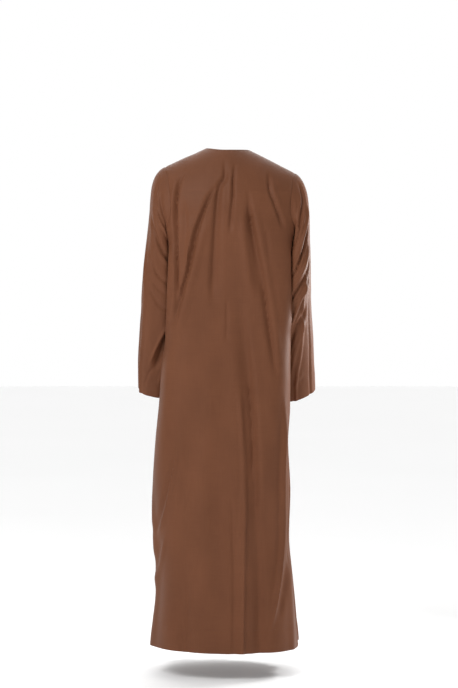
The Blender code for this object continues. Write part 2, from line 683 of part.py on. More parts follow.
def ring_point(side, level, angle):
    """The smooth sleeve at a level from 0, its first ring, to 1, the cuff, and an angle round it."""
    rings = SLEEVE_RINGS[side]
    ring = ring_values(side, spread(rings[0].z, rings[-1].z, level))
    c, s = np.cos(np.radians(angle)), np.sin(np.radians(angle))
    reach = (np.abs(c) ** ring["power"] + np.abs(s) ** ring["power"]) ** (-1.0 / ring["power"])
    dx, dy = ring["half_x"] * c * reach, ring["half_y"] * s * reach
    tip, lean = np.tan(np.radians(ring["tip"])), np.tan(np.radians(ring["lean"]))
    sign = 1.0 if side == "left" else -1.0
    return np.stack([sign * (ring["x"] + dx), ring["y"] + dy, ring["z"] - tip * dy + lean * dx], axis=-1)


def around(values, angle):
    """A value for the top, the back and front, and under the arm, eased round the sleeve."""
    top, middle, under = values
    share = np.abs((np.asarray(angle) + 180.0) % 360.0 - 180.0) / 90.0
    return np.where(share < 1.0, spread(top, middle, ease(share)), spread(middle, under, ease(share - 1.0)))


def sleeve_relief(side, points, angle, fade):
    """How far the creases move the sleeve's surface out."""
    turn = (angle + 180.0) % 360.0 - 180.0
    total = np.zeros(points.shape[:-1])
    radius = 0.064
    for crease in SLEEVE_CREASES[side]:
        run_x = math.radians(crease.angle_to - crease.angle_from) * radius
        run_z = crease.z_to - crease.z_from
        length = math.hypot(run_x, run_z)
        dx = np.radians(turn - crease.angle_from) * radius
        dz = points[..., 2] - crease.z_from
        share = (dx * run_x + dz * run_z) / length**2
        distance = (dx * run_z - dz * run_x) / length
        along = ease(share / FADE) * ease((1.0 - share) / FADE)
        total += crease.depth * along * fold_shape(distance, crease.width)
    return total * fade


def build_sleeve(side, material):
    girth, rise, lowest = armhole_loop(side)
    seam = body_point(girth, rise)
    seam_out = body_out(girth, rise)
    run = np.roll(seam, -1, axis=0) - np.roll(seam, 1, axis=0)
    off = np.cross(run, seam_out)
    off /= np.linalg.norm(off, axis=1, keepdims=True)
    sign = 1.0 if side == "left" else -1.0
    if float((off[:, 0] * sign).sum()) < 0.0:
        off = -off
    angle0 = loop_angles(seam, lowest)
    even = np.linspace(0.0, 360.0, len(seam) + 1)[:-1]
    start = seam + off * SEAM_GAP
    rows, angles, fades = [start], [angle0], [0.0]
    step = 0.01
    for n in range(1, CAP_ROWS + 1):
        t = n / CAP_ROWS
        angle = angle0
        first = ring_point(side, np.zeros(len(angle)), angle)
        ahead = ring_point(side, np.full(len(angle), step), angle) - first
        ahead /= np.linalg.norm(ahead, axis=1, keepdims=True)
        leave = off * around(CAP_START[side], angle)[:, None]
        arrive = ahead * around(CAP_END, angle)[:, None]
        h00 = (1.0 + 2.0 * t) * (1.0 - t) ** 2
        h10 = t * (1.0 - t) ** 2
        h01 = t * t * (3.0 - 2.0 * t)
        h11 = t * t * (t - 1.0)
        rows.append(h00 * start + h10 * leave + h01 * first + h11 * arrive)
        angles.append(angle)
        fades.append(ease(t * 1.5))
    for n in range(1, SLEEVE_ROWS + 1):
        level = n / SLEEVE_ROWS
        angle = turned(angle0, even, level * 2.0)
        rows.append(ring_point(side, np.full(len(angle), level), angle))
        angles.append(angle)
        fades.append(1.0)
    smooth, angles = np.array(rows), np.array(angles)
    out = grid_normals(smooth, sign)
    relief = sleeve_relief(side, smooth, angles, np.array(fades)[:, None])
    outer = smooth + out * relief[..., None]
    out = grid_normals(outer, sign)
    out[0] = seam_out
    points, faces = thick_tube(outer, out, CLOTH)
    add_object("sleeve_" + side, points, faces, material)


def grid_normals(rings, sign):
    """Outward normals of a tube given as rings, by differences between its points."""
    along = np.gradient(rings, axis=0)
    turn = np.roll(rings, -1, axis=1) - np.roll(rings, 1, axis=1)
    crossed = np.cross(along, turn) * sign
    return crossed / np.linalg.norm(crossed, axis=-1, keepdims=True)


def across_placket(values):
    """Values at the band's two edges and the slit's two, from the front's own columns beside the slit."""
    points, out = values
    half = PLACKET_WIDTH / 2.0
    made = []
    for edge, slit in ((0, 1), (3, 2)):
        run = points[:, edge, :1] - points[:, slit, :1]
        share = (np.sign(run) * half - points[:, slit, :1]) / run
        made.append(share)
    right, left = made

    def four(grid):
        first = spread(grid[:, 1], grid[:, 0], right)
        last = spread(grid[:, 2], grid[:, 3], left)
        return np.stack([first, grid[:, 1], grid[:, 2], last], axis=1)

    return four(points), four(out)


def build_placket(name, by_slit, lift, material):
    """A band down the slit, made from the front's own points moved out, or in."""
    points, out = across_placket(by_slit)
    return add_object(name, *thick_grid(points + out * lift, out, PLACKET_CLOTH), material)


def build_buttons(by_slit, material):
    """Flat round buttons down the placket, each in the middle of a row of the band's faces."""
    points, out = by_slit
    middles = points[:, 1:3].mean(axis=1)
    middles = (middles[1:] + middles[:-1]) / 2.0
    for n in range(BUTTON_COUNT):
        row = int(np.argmin(np.abs(middles[:, 2] - (BUTTON_FIRST_Z - n * BUTTON_PITCH))))
        across = np.array([1.0, 0.0, 0.0])
        along = points[row + 1, 1] - points[row, 1]
        along /= np.linalg.norm(along)
        away = np.cross(across, along)
        base = middles[row] + away * (LAYER_GAP + PLACKET_CLOTH + LAYER_GAP)
        turn = np.linspace(0.0, 2.0 * math.pi, BUTTON_SIDES + 1)[:-1]
        circle = np.cos(turn)[:, None] * across + np.sin(turn)[:, None] * np.cross(away, across)
        low = base + circle * BUTTON_RADIUS
        high = low + away * BUTTON_THICK
        faces = [tuple(range(BUTTON_SIDES))[::-1], tuple(range(BUTTON_SIDES, 2 * BUTTON_SIDES))]
        for i in range(BUTTON_SIDES):
            j = (i + 1) % BUTTON_SIDES
            faces.append((i, j, BUTTON_SIDES + j, BUTTON_SIDES + i))
        add_object("button_%d" % (n + 1), np.concatenate([low, high]), faces, material)


def main():
    for thing in list(bpy.data.objects):
        bpy.data.objects.remove(thing)
    cloth = cloth_material("robe_cloth", CLOTH_COLOUR, 0.62)
    build_back(cloth)
    build_yoke(cloth)
    by_slit = build_front(cloth)
    build_sleeve("left", cloth)
    build_sleeve("right", cloth)
    build_placket("placket_over", by_slit, LAYER_GAP + PLACKET_CLOTH, cloth)
    build_placket("placket_under", by_slit, -CLOTH - LAYER_GAP, cloth)
    build_buttons(by_slit, cloth_material("button_plastic", BUTTON_COLOUR, 0.35))


main()
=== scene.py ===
"""The looks of a long brown collarless robe, held in the hollow form that it has when worn.

Metres, +Z up, in the model's own frame: the front faces -Y, the back +Y, and +X is the wearer's left.
The cloth follows the surfaces of the model's solids, squarer beside the arms and divided more finely,
with its smaller folds, hems, seams, stitches, buttonholes and buttons.
"""

import math
from collections import namedtuple

import bmesh
import bpy
import numpy as np
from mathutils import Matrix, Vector


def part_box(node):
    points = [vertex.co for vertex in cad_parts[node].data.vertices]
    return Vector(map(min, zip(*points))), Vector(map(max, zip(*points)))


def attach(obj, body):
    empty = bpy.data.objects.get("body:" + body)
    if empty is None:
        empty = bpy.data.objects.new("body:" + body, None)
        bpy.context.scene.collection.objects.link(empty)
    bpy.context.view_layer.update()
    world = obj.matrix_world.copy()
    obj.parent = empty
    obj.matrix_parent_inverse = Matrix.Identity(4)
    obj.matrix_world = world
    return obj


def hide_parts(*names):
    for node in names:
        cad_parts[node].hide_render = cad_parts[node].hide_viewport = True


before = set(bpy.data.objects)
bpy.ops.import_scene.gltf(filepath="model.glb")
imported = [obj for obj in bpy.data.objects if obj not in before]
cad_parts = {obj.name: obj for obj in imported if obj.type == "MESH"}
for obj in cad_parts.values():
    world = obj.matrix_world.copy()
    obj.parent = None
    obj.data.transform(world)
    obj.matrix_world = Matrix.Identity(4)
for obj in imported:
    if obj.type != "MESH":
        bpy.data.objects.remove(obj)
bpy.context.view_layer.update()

MM = 0.001
SIDES = ("left", "right")
SIGN = {"left": 1.0, "right": -1.0}

# Sizes of the cloth
CLOTH = 0.0009
HEM_CLOTH = 0.0019
HEM_DEPTH = 0.065
CUFF_HEM_DEPTH = 0.058
SEAM_GAP = 0.0001
CLOTH_SHARP = 60

# Heights below the neck's sides
BLADE_Z = -0.190
UNDERARM_Z = -0.280
CHEST_Z = -0.330
HIP_Z = -0.640
HEM_Z = -1.455
HEM_RISE_LEFT = 0.006
YOKE_SEAM_Z = -0.128

# Shoulders: the ridge falls from a rounded virtual peak inside the neck
RIDGE_PEAK_Z = 0.0233
RIDGE_ROUND = 0.030
SHOULDER_SLOPE = {"left": 0.469, "right": 0.525}
RIDGE_Y = -0.008
ARCH = 0.24
FRONT_YOKE_RISE = ARCH - 0.052
BACK_ARCH_POWER = 1.8
FRONT_ARCH_POWER = 1.35
SHOULDER_X = {"left": 0.181, "right": 0.200}
BLADE_SEAM_X = {"left": 0.163, "right": 0.187}

# Neck and front opening
NECK_X = {"left": 0.0605, "right": 0.068}
BACK_NECK_Z = -0.003
FRONT_NECK_Z = -0.082
SLIT_END_Z = -0.405
SLIT_WIDTH = 0.0012
PLACKET_WIDTH = 0.034
PLACKET_END_Z = -0.430
PLACKET_CLOTH = 0.0016
PLACKET_WALL = 0.0014
PLACKET_LIFT = 0.0003

# The body's sections. Half widths are to the wearer's left and right, depths from the middle plane.
Section = namedtuple("Section", "z left right back front power")
BODY_SECTIONS = (
    Section(-0.190, 0.222, 0.238, 0.126, 0.116, 2.20),
    Section(-0.280, 0.178, 0.200, 0.131, 0.128, 4.00),
    Section(-0.330, 0.184, 0.204, 0.131, 0.131, 4.60),
    Section(-0.390, 0.184, 0.204, 0.132, 0.134, 4.80),
    Section(-0.470, 0.181, 0.200, 0.134, 0.138, 4.80),
    Section(-0.560, 0.181, 0.190, 0.139, 0.143, 4.60),
    Section(-0.637, 0.191, 0.187, 0.145, 0.148, 4.50),
    Section(-0.740, 0.198, 0.187, 0.154, 0.155, 4.30),
    Section(-0.860, 0.209, 0.181, 0.164, 0.163, 3.90),
    Section(-1.000, 0.217, 0.188, 0.175, 0.174, 3.15),
    Section(-1.150, 0.211, 0.184, 0.187, 0.188, 2.80),
    Section(-1.290, 0.203, 0.195, 0.198, 0.202, 2.80),
    Section(-1.390, 0.214, 0.205, 0.207, 0.211, 2.65),
    Section(-1.470, 0.223, 0.213, 0.213, 0.217, 2.55),
)
TOP = BODY_SECTIONS[0]
TOP_HALF = {"left": TOP.left, "right": TOP.right}

# Creases of the body by face, in millimetres: a path of (across, height) places, where across is x on
# the back and front and y on the sides, the half widths of the trough or ridge at the path's two ends,
# its height, which is negative for a trough, and where it leans, how far its left flank is the wider.
BODY_CREASES = {
    "back": (
        (((108, -45), (116, -68), (137, -100), (147, -170), (146.5, -245), (146, -304), (144, -361),
          (145, -418), (149, -470)), (6.2, 9.5), -11.5, 0.3),
        (((124, -70), (150, -110), (157, -170), (156, -240)), (6, 8), 2.6),
        (((128, -140), (118, -215), (124, -290), (137, -390)), (9, 12), -3.4, 0.2),
        (((153.5, -200), (153, -300), (152, -380), (154, -460), (164, -530)), (6, 7), 5),
        (((8, -15), (6, -50), (6, -88), (22, -120), (29, -190), (35, -300), (39, -400), (40, -480)),
         (7.5, 20), -9.8, -0.2),
        (((10, -92), (28, -114), (47, -145), (66, -189), (84.5, -247), (97, -304), (110, -361),
          (126, -418), (142, -475), (160, -540)), (6, 13), -11.2, 0.4),
        (((60, -150), (82, -200), (100, -247), (111, -304), (120, -361), (136, -418), (150, -480)),
         (5, 6), 4.6),
        (((46, -190), (72, -270), (95, -360), (122, -460), (150, -580)), (12, 18), 3.6),
        (((-26.5, -40), (-21.5, -80), (-19, -110), (-18.8, -140), (-14, -200), (-9, -260)),
         (5, 8), -6.6),
        (((-14, -60), (-11, -110), (-9, -180)), (7, 8), 1.8),
        (((-60, -105), (-67, -160), (-74, -220), (-89, -300), (-104, -380), (-113, -445), (-126, -530),
          (-138, -610), (-147, -700)), (8, 11), -10, 0.35),
        (((-64, -150), (-72, -240), (-84, -340), (-98, -440)), (12, 18), -8, 0.3),
        (((-84, -150), (-92, -220), (-110, -320), (-127, -420), (-142, -520), (-154, -640)),
         (8, 12), 3.2),
        (((-46, -180), (-52, -280), (-70, -400), (-84, -500)), (12, 18), 3),
        (((-114, -235), (-118, -270), (-123, -330)), (5, 6), -2.2),
        (((-121, -62), (-123, -85), (-126, -124), (-141, -166), (-156, -208), (-168, -245)),
         (5, 7), -7.4),
        (((-133, -90), (-141, -130), (-157, -176)), (6, 7), 2.2),
        (((-1, -440), (-1, -490), (0, -570)), (5, 8), -2.4),
        (((-36, -380), (-48, -520), (-64, -670), (-72, -800), (-78, -950), (-86, -1100), (-94, -1250),
          (-98, -1450), (-100, -1700)), (20, 34), -13.5, 0.3),
        (((-60, -640), (-70, -740), (-75.5, -840), (-76.5, -980)), (5, 6), -3.4, 0.5),
        (((-36, -680), (-44, -800), (-50, -903), (-53, -1000), (-54, -1120)), (9, 11), 4.6, 0.1),
        (((-52, -930), (-53.5, -1050), (-50.5, -1180), (-48, -1300), (-46, -1480), (-45, -1700)),
         (11.5, 11.5), 10.5, 0.4),
        (((-12, -980), (-20, -1150), (-22, -1350), (-18, -1700)), (8, 11), -3),
        (((-80, -700), (-84, -850), (-86, -1000), (-80, -1120)), (10, 12), -3.4),
        (((-110, -920), (-114, -1100), (-110, -1300), (-100, -1700)), (26, 34), -9),
        (((-168, -700), (-166, -818), (-161, -932), (-160, -1046), (-158, -1146), (-149, -1246),
          (-137, -1331), (-129, -1376), (-117, -1440)), (8.5, 7), 12.5, -0.15),
        (((-188, -1110), (-181, -1180), (-171, -1250), (-159, -1320), (-150, -1375)), (9, 10), -6),
        (((-176, -1100), (-180, -1200), (-186, -1320), (-190, -1420), (-194, -1700)), (9, 10), 5),
        (((100, -760), (116, -1000), (120, -1250), (118, -1700)), (26, 34), -4.5),
        (((44, -580), (54, -800), (62, -1100), (60, -1700)), (30, 40), 4),
        (((140, -860), (152, -932), (172, -1033), (204, -1139)), (5, 7), 4.8, -0.3),
        (((152, -880), (166, -960), (190, -1060), (214, -1140)), (7, 9), -4),
        (((176, -1120), (187, -1180), (197, -1240), (203, -1290)), (5, 6), 3.2, -0.3),
        (((190, -1130), (202, -1200), (210, -1290)), (6, 8), -3.6),
        (((110, -1200), (112, -1330), (114, -1600)), (6, 8), -2.4, 0.3),
        (((128, -1350), (130, -1420), (131, -1560)), (4, 5), -3, 0.3),
    ),
    "left": (
        (((-50, -860), (-45, -1150), (-22, -1700)), (24, 32), -15),
        (((58, -940), (70, -1250), (85, -1700)), (22, 30), 8),
        (((4, -680), (14, -1000), (30, -1500)), (8, 11), -4, 0.3),
        (((-84, -760), (-78, -1000), (-88, -1300)), (8, 11), -3.6),
    ),
    "right": (
        (((30, -880), (16, -1150), (-8, -1700)), (24, 32), -14),
        (((-86, -940), (-80, -1250), (-75, -1700)), (22, 30), 10),
        (((-30, -740), (-42, -1050), (-60, -1560)), (8, 11), -4, 0.3),
        (((78, -700), (74, -960), (82, -1260)), (8, 11), -3.6),
    ),
    "front": (
        (((90, -280), (108, -700), (108, -1200), (98, -1700)), (16, 28), -11.5),
        (((48, -460), (56, -900), (50, -1700)), (18, 26), 8),
        (((72, -540), (80, -900), (72, -1500)), (6, 9), -4.4, 0.3),
        (((26, -560), (30, -900), (22, -1300)), (7, 10), -3),
        (((-78, -320), (-94, -700), (-104, -1200), (-110, -1700)), (16, 28), -12.5),
        (((-38, -480), (-44, -900), (-56, -1700)), (18, 26), 8),
        (((-64, -600), (-72, -1000), (-86, -1600)), (6, 9), -4.4, -0.3),
        (((-128, -560), (-136, -800), (-140, -1050)), (7, 10), -3.4),
        (((12, -620), (4, -1000), (-8, -1700)), (18, 28), -10.5),
        (((10, -450), (8, -640), (4, -920)), (6, 9), -3.4),
        (((96, -85), (108, -160), (122, -250), (142, -350)), (6, 10), -5),
        (((110, -90), (124, -170), (140, -260)), (6, 9), 2.6),
        (((76, -150), (98, -260), (126, -380), (154, -480)), (7, 12), -4.6, 0.3),
        (((-100, -85), (-112, -160), (-130, -260), (-156, -370)), (6, 10), -5),
        (((-116, -90), (-130, -170), (-148, -260)), (6, 9), 2.6),
        (((-74, -160), (-98, -280), (-132, -400), (-164, -500)), (7, 12), -4.6, -0.3),
        (((-148, -740), (-154, -1100), (-162, -1700)), (18, 26), -9.5),
        (((155, -780), (166, -1100), (172, -1700)), (18, 26), -8.5),
        (((134, -620), (140, -860), (136, -1100)), (7, 10), -3.4),
    ),
}
BODY_SCALE = (MM, MM)
PATH_STEPS = 6
FADE = 0.22
FLANK = 0.55
CREASE_REACH = 3.0
# A face's creases come in over its edge. Beside the arm no ridge stands: that comes in from a share of
# the half width and from a height, each followed by how far it takes.
FACE_EDGE = 0.35
BESIDE_ARM = (0.80, 0.12)
BESIDE_ARM_END = (-0.74, 0.04)

# Rings of the sleeves below the armhole: the ring's middle, half width along x, half depth along y,
# how far its plane tips up at the front and leans down to the body, in degrees, and the power of its
# inner half and of its outer half. Skew is how far in from its middle its back and front lie.
Ring = namedtuple("Ring", "x y z half_x half_y tip lean power outer skew")
SLEEVE_RINGS = {
    "left": (
        Ring(0.1912, 0.005, -0.245, 0.0357, 0.089, 4, 62, 2.3, 2.3, 0.00),
        Ring(0.1993, 0.009, -0.345, 0.0438, 0.088, 4, 18, 3.2, 2.8, 0.00),
        Ring(0.2023, 0.001, -0.450, 0.0487, 0.081, 8, 8, 3.5, 3.0, 0.00),
        Ring(0.2118, -0.028, -0.580, 0.0487, 0.070, 15, 8, 3.3, 3.0, 0.00),
        Ring(0.2208, -0.064, -0.705, 0.0428, 0.063, 20, 12, 3.0, 2.8, 0.00),
    ),
    "right": (
        Ring(0.2115, 0.007, -0.245, 0.0322, 0.091, 4, 62, 2.3, 2.2, 0.00),
        Ring(0.2133, 0.011, -0.345, 0.0342, 0.091, 4, 18, 3.2, 2.2, 0.00),
        Ring(0.2122, 0.003, -0.450, 0.0370, 0.085, 8, 8, 3.5, 1.9, 0.30),
        Ring(0.2174, -0.025, -0.580, 0.0402, 0.073, 14, 8, 3.5, 1.65, 0.45),
        Ring(0.2244, -0.060, -0.714, 0.0402, 0.063, 19, 11, 3.4, 1.6, 0.45),
    ),
}
# How far the cloth runs straight on from the armhole seam, on top of the shoulder, at the back and
# front, and under the arm, and how far it comes straight into the first ring.
CAP_START = {"left": (0.154, 0.050, 0.030), "right": (0.116, 0.050, 0.030)}
CAP_END = (0.120, 0.070, 0.030)
# The body's side gives way to the arm: how far it stays off the sleeve, how much farther the hollow
# reaches past the sleeve's edges, how square the hollow is, how softly it begins, where it starts, and
# how fast the side comes out again beyond the sleeve's edges.
ARM_CLEARANCE = 0.0036
ARM_HOLLOW_SPARE = 0.0045
ARM_HOLLOW_POWER = 3.0
ARM_SOFT = 0.0025
ARM_START_Z = -0.312
ARM_RELEASE_SIDE = 1.5
ARM_RELEASE_BELOW = 0.30
ARM_RELEASE_ABOVE = 0.35

# Creases of the sleeves, as those of the body, but with paths of (angle, height) places, where angle 0
# is the sleeve's outer side, 90 its back, 180 its inner side and -90 its front.
SLEEVE_CREASES = {
    "left": (
        (((32, -200), (38, -330), (47, -420), (49, -475), (47, -580), (44, -650), (42, -900)),
         (4.5, 4.5), 5, 0.2),
        (((18, -240), (24, -400), (28, -580), (24, -720), (22, -900)), (6, 7), -3.4),
        (((50, -70), (62, -106), (85, -142), (105, -165)), (5, 6), -3.2),
        (((30, -80), (42, -140), (64, -190)), (6, 7), -2.4),
        (((46, -110), (60, -153), (85, -195), (125, -236), (158, -276)), (6, 7), -4.6, 0.2),
        (((52, -170), (75, -210), (110, -250), (145, -292)), (5, 6), 3.4),
        (((36, -180), (50, -224), (90, -283), (125, -325), (165, -360)), (6, 8), -5, 0.2),
        (((60, -262), (95, -312), (135, -352)), (5, 6), 3),
        (((46, -290), (62, -325), (92, -372), (140, -407), (165, -425)), (6, 8), -3.6),
        (((50, -360), (80, -400), (130, -440)), (7, 8), -2),
        (((52, -400), (70, -425), (103, -465), (150, -484)), (6, 8), -3),
        (((88, -655), (104, -620), (126, -565), (152, -510), (176, -460)), (16, 14), -13),
        (((70, -640), (86, -605), (108, -556), (136, -505), (164, -470)), (6, 7), 3.4),
        (((58, -700), (74, -660), (92, -640)), (6, 7), -2),
        (((110, -700), (122, -650), (140, -610)), (7, 8), 2.6),
        (((-140, -395), (-90, -420), (-35, -465)), (9, 10), -6),
        (((-155, -470), (-105, -510), (-50, -560)), (8, 9), -4.6),
        (((-140, -560), (-90, -610), (-35, -670)), (9, 10), -3.4),
    ),
    "right": (
        (((46, -280), (58, -400), (60, -500), (62, -550), (72, -610), (84, -660), (92, -720),
          (94, -900)), (6, 8), 3.8),
        (((26, -340), (30, -450), (32, -580), (36, -700), (38, -900)), (6, 7), -3.4),
        (((46, -70), (60, -110), (88, -150), (112, -178)), (5, 6), -4),
        (((58, -90), (64, -118), (78, -168), (108, -202)), (5, 6), 4.9),
        (((26, -80), (36, -130), (50, -165), (85, -224), (118, -280), (140, -310)), (6, 9), -8.4),
        (((30, -150), (45, -206), (70, -262), (96, -317), (122, -356)), (6, 8), 5.4),
        (((30, -200), (47, -248), (75, -305), (108, -352), (138, -385)), (6, 9), -8.9),
        (((40, -264), (48, -300), (64, -340), (96, -390), (120, -420)), (6, 8), 5.6),
        (((20, -300), (45, -350), (83, -408), (116, -440), (142, -470)), (7, 10), -8.9),
        (((34, -360), (46, -395), (68, -432), (98, -502), (120, -552)), (8, 9), 7),
        (((40, -450), (60, -494), (90, -538), (124, -612), (146, -650)), (9, 12), -8.4),
        (((44, -490), (62, -530), (84, -588), (112, -648)), (8, 10), 3.6),
        (((96, -600), (112, -640), (132, -668), (152, -690)), (8, 10), -3.4),
        (((60, -650), (84, -680), (106, -706)), (8, 9), 1.2),
        (((-140, -390), (-90, -415), (-35, -460)), (9, 10), -6),
        (((-155, -475), (-105, -515), (-50, -565)), (8, 9), -4.6),
        (((-140, -570), (-90, -620), (-35, -680)), (9, 10), -3.4),
    ),
    "both": (
        (((-60, -120), (-95, -200), (-140, -290)), (6, 8), -4.4),
        (((-40, -190), (-85, -280), (-145, -350)), (7, 8), -4.4),
        (((-30, -250), (-80, -330), (-140, -395)), (7, 8), 3),
        (((-150, -425), (-100, -460), (-45, -505)), (8, 9), -5),
        (((-150, -450), (-105, -485), (-55, -530)), (7, 8), 3.4),
    ),
}
SLEEVE_RADIUS = 0.064
SLEEVE_SCALE = (math.radians(1.0) * SLEEVE_RADIUS, MM)
# No ridge stands on the sleeve's inner side either: from which angle, and how far that takes. The
# creases come in over the first stretch below the armhole.
INNER_SIDE = (125.0, 25.0)
CAP_SMOOTH = 0.045

# How finely the cloth is divided
NECK_COLUMNS = 24
NECK_COLUMN_SWEEP = 65
SHOULDER_COLUMNS = 30
SIDE_COLUMNS = 30
HEM_ROWS = 26
SKIRT_ROWS = 100
HIP_ROWS = 34
SLIT_FOOT_ROWS = 5
WAIST_ROWS = 15
UNDERARM_ROWS = 30
BACK_CHEST_ROWS = 16
FRONT_CHEST_ROWS = 36
YOKE_ROWS = 28
YOKE_FRONT_ROWS = 8
CAP_ROWS = 46
SLEEVE_ROWS = 112
PLACKET_ROWS = 120
PLACKET_COLUMNS = 15
PLACKET_FINE = 61
PLACKET_SPARE = 2.2
SIDE_SEAM_POINTS = 420
YOKE_SEAM_POINTS = 40
SLIT_ROW = HEM_ROWS + SKIRT_ROWS + HIP_ROWS + SLIT_FOOT_ROWS

# The cloth's small relief: how high or deep, and how wide
UNEVEN = 0.00032
SEAM_SINK = 0.0012
SEAM_SOFT = 0.0028
SEAM_UNEVEN = 0.35
YOKE_SINK = 0.30
PUCKER = 0.00042
PUCKER_WIDE = 0.011
PUCKER_DRAWN = 0.4
PATCHY = 0.4
GROOVE = 0.0004
GROOVE_WIDE = 0.0022
SLEEVE_HEAD = 0.0003
SLEEVE_HEAD_AT = (0.012, 0.009)
SLEEVE_HEAD_END = 120.0
HEM_EDGE = 0.0007
CUFF_EDGE = 0.0006
EDGE_WIDE = 0.0025
HEM_SWELL = 0.0005
HEM_HALF = 0.22
HEM_RADIUS = 0.205
BAND_EDGE = 0.0004
BAND_EDGE_FROM = (0.86, 0.14)

# Waves of the cloth: a seed, the shortest and the longest wave, and how far they are drawn out. Those
# of puckers take the seed of their seam or hem.
WAVE_COUNT = 28
BODY_WAVES = (5, 0.030, 0.110, 2.2)
SEAM_WAVES = (11, 0.012, 0.045, 1.0)
HEM_SEED = 21
PUCKER_WAVES = (0.010, 0.030, 1.0)
PATCH_WAVES = (0.08, 0.20, 1.0)
SLEEVE_WAVES = {"left": (31, 0.024, 0.080, 1.4), "right": (32, 0.024, 0.080, 1.4)}
CUFF_SEED = {"left": 41, "right": 43}
ARMHOLE_WAVES = (47, 0.012, 0.045, 1.0)
BAND_WAVES = (61, 0.012, 0.030, 1.0)

# Stitches
STITCH = 0.0024
STITCH_GAP = 0.0009
THREAD = 0.00022
THREAD_SIDES = 6
NECK_STITCH = 0.006
NECK_STITCH_STOP = 5
PLACKET_FOOT_ROWS = (2, 8)
# A stitch's places along its length, and its thickness and height there in thread radii
STITCH_SHARES = np.array([0.0, 0.12, 0.5, 0.88, 1.0])
STITCH_SWELL = np.array([0.35, 0.9, 1.0, 0.9, 0.35])
STITCH_HEIGHT = np.array([-0.5, 0.35, 0.7, 0.35, -0.5])

# Buttons and buttonholes. A button's heights are shares of its thickness, its places of its radius.
BUTTON_COUNT = 4
BUTTON_RADIUS = 0.0057
BUTTON_THICK = 0.0024
BUTTON_SIDES = 64
BUTTON_RINGS = ((0.0, 0.62, 26), (0.66, 1.0, 12))
BUTTON_DISH = 0.62
BUTTON_RIM_AT = (0.84, 0.11)
BUTTON_EDGE = 0.55
BUTTON_EDGE_FROM = (0.9, 0.1)
BUTTON_FOOT = 0.94
BUTTON_SHARP = 50
BUTTON_HOLE = 0.00055
BUTTON_HOLE_OFF = 0.0013
BUTTON_HOLE_DEEP = 0.5
BUTTON_HOLE_SOFT = 1.3
BUTTON_THREAD = 0.0004
BUTTON_THREAD_SHARE = 0.98
BUTTONHOLE = 0.0145
BUTTONHOLE_POINTS = 65
BUTTONHOLE_HALF = 0.00085
BUTTONHOLE_SQUARE = 0.4
BUTTONHOLE_SINK = 0.0002
BUTTONHOLE_STITCH = (0.0007, 0.0001, 0.00032)

# Looks
WHITE = (1.0, 1.0, 1.0, 1.0)
CLOTH_COLOUR = (0.158, 0.0604, 0.030)
BUTTON_COLOUR = (0.080, 0.036, 0.022)
CLOTH_ROUGH = (0.46, 0.58)
WEAVE_PERIOD = 0.0007

# Stage
FLOOR_Z = -1.5325
FLOOR_HALF = 40.0
CAMERA_PLACE = (-0.007, 6.0, -0.572)
SENSOR = 36.0
LENS = 2034.0 / 688.0 * SENSOR
# Each lamp shines from turn degrees round from the robe's back to its left side, and climb up. It is
# a panel at its reach in metres, or a sun where that is 0, and spread is how wide it looks in degrees.
Lamp = namedtuple("Lamp", "name turn climb power spread reach")
LAMPS = (
    Lamp("key", 35, 38, 1.90, 25, 4.2),
    Lamp("overhead", 0, 84, 0.4, 80, 0),
    Lamp("left_rim", 136, 10, 0.3, 10, 0),
    Lamp("right_rim", -120, 2, 3.7, 20, 1.3),
    Lamp("front_soft", 180, 38, 2.5, 60, 0),
    Lamp("low_soft", -8, 4, 0.10, 50, 0),
)
LIT_PLACE = Vector((0.0, 0.1, -0.35))
FILL = 0.23
FLOOR_GLOW = 0.155
ROOM_RADIUS = 60.0


def spread(low, high, share):
    return low + (high - low) * share


def steps_to(low, high, count):
    """Even steps from low to high, without low itself."""
    return spread(low, high, np.linspace(0.0, 1.0, count + 1)[1:])


def ease(share):
    """Smooth step from 0 to 1."""
    held = np.clip(share, 0.0, 1.0)
    return held * held * (3.0 - 2.0 * held)


def eased_from(value, start, width):
    """Smooth step that begins at start and is whole a width later."""
    return ease((value - start) / width)


def bell(off, wide):
    """1 in the middle, falling away evenly on both sides."""
    return np.exp(-((off / wide) ** 2))


def unit(vectors):
    length = np.linalg.norm(vectors, axis=-1, keepdims=True)
    return vectors / np.maximum(length, 1e-12)


def travelled(points, axis=0):
    """Distance gone along an axis of a grid of points, from its first point."""
    steps = np.linalg.norm(np.diff(points, axis=axis), axis=-1)
    start = np.zeros_like(np.take(steps, [0], axis=axis))
    return np.concatenate([start, np.cumsum(steps, axis=axis)], axis=axis)


def hermite(t, start, leave, end, arrive):
    """A cubic from start to end, with its slopes there."""
    from_start = (1.0 + 2.0 * t) * start + t * leave
    return (1.0 - t) ** 2 * from_start + t * t * ((3.0 - 2.0 * t) * end + (t - 1.0) * arrive)


def smooth_column(rows, column, z):
    """A smooth curve through one column of a table whose rows fall in z."""
    keys = np.array([row.z for row in rows])[::-1]
    values = np.array([getattr(row, column) for row in rows])[::-1]
    z = np.clip(z, keys[0], keys[-1])
    spans = np.diff(keys)
    rises = np.diff(values) / spans
    slopes = np.zeros(len(keys))
    same_way = rises[:-1] * rises[1:] > 0
    weights = 2.0 * rises[:-1] * rises[1:] / np.where(same_way, rises[:-1] + rises[1:], 1.0)
    slopes[1:-1] = np.where(same_way, weights, 0.0)
    slopes[0] = rises[0]
    i = np.clip(np.searchsorted(keys, z, side="right") - 1, 0, len(spans) - 1)
    t = (z - keys[i]) / spans[i]
    return hermite(t, values[i], spans[i] * slopes[i], values[i + 1], spans[i] * slopes[i + 1])


def by_side(x, values):
    """The left or the right value, by the sign of x."""
    return np.where(x >= 0.0, values["left"], values["right"])


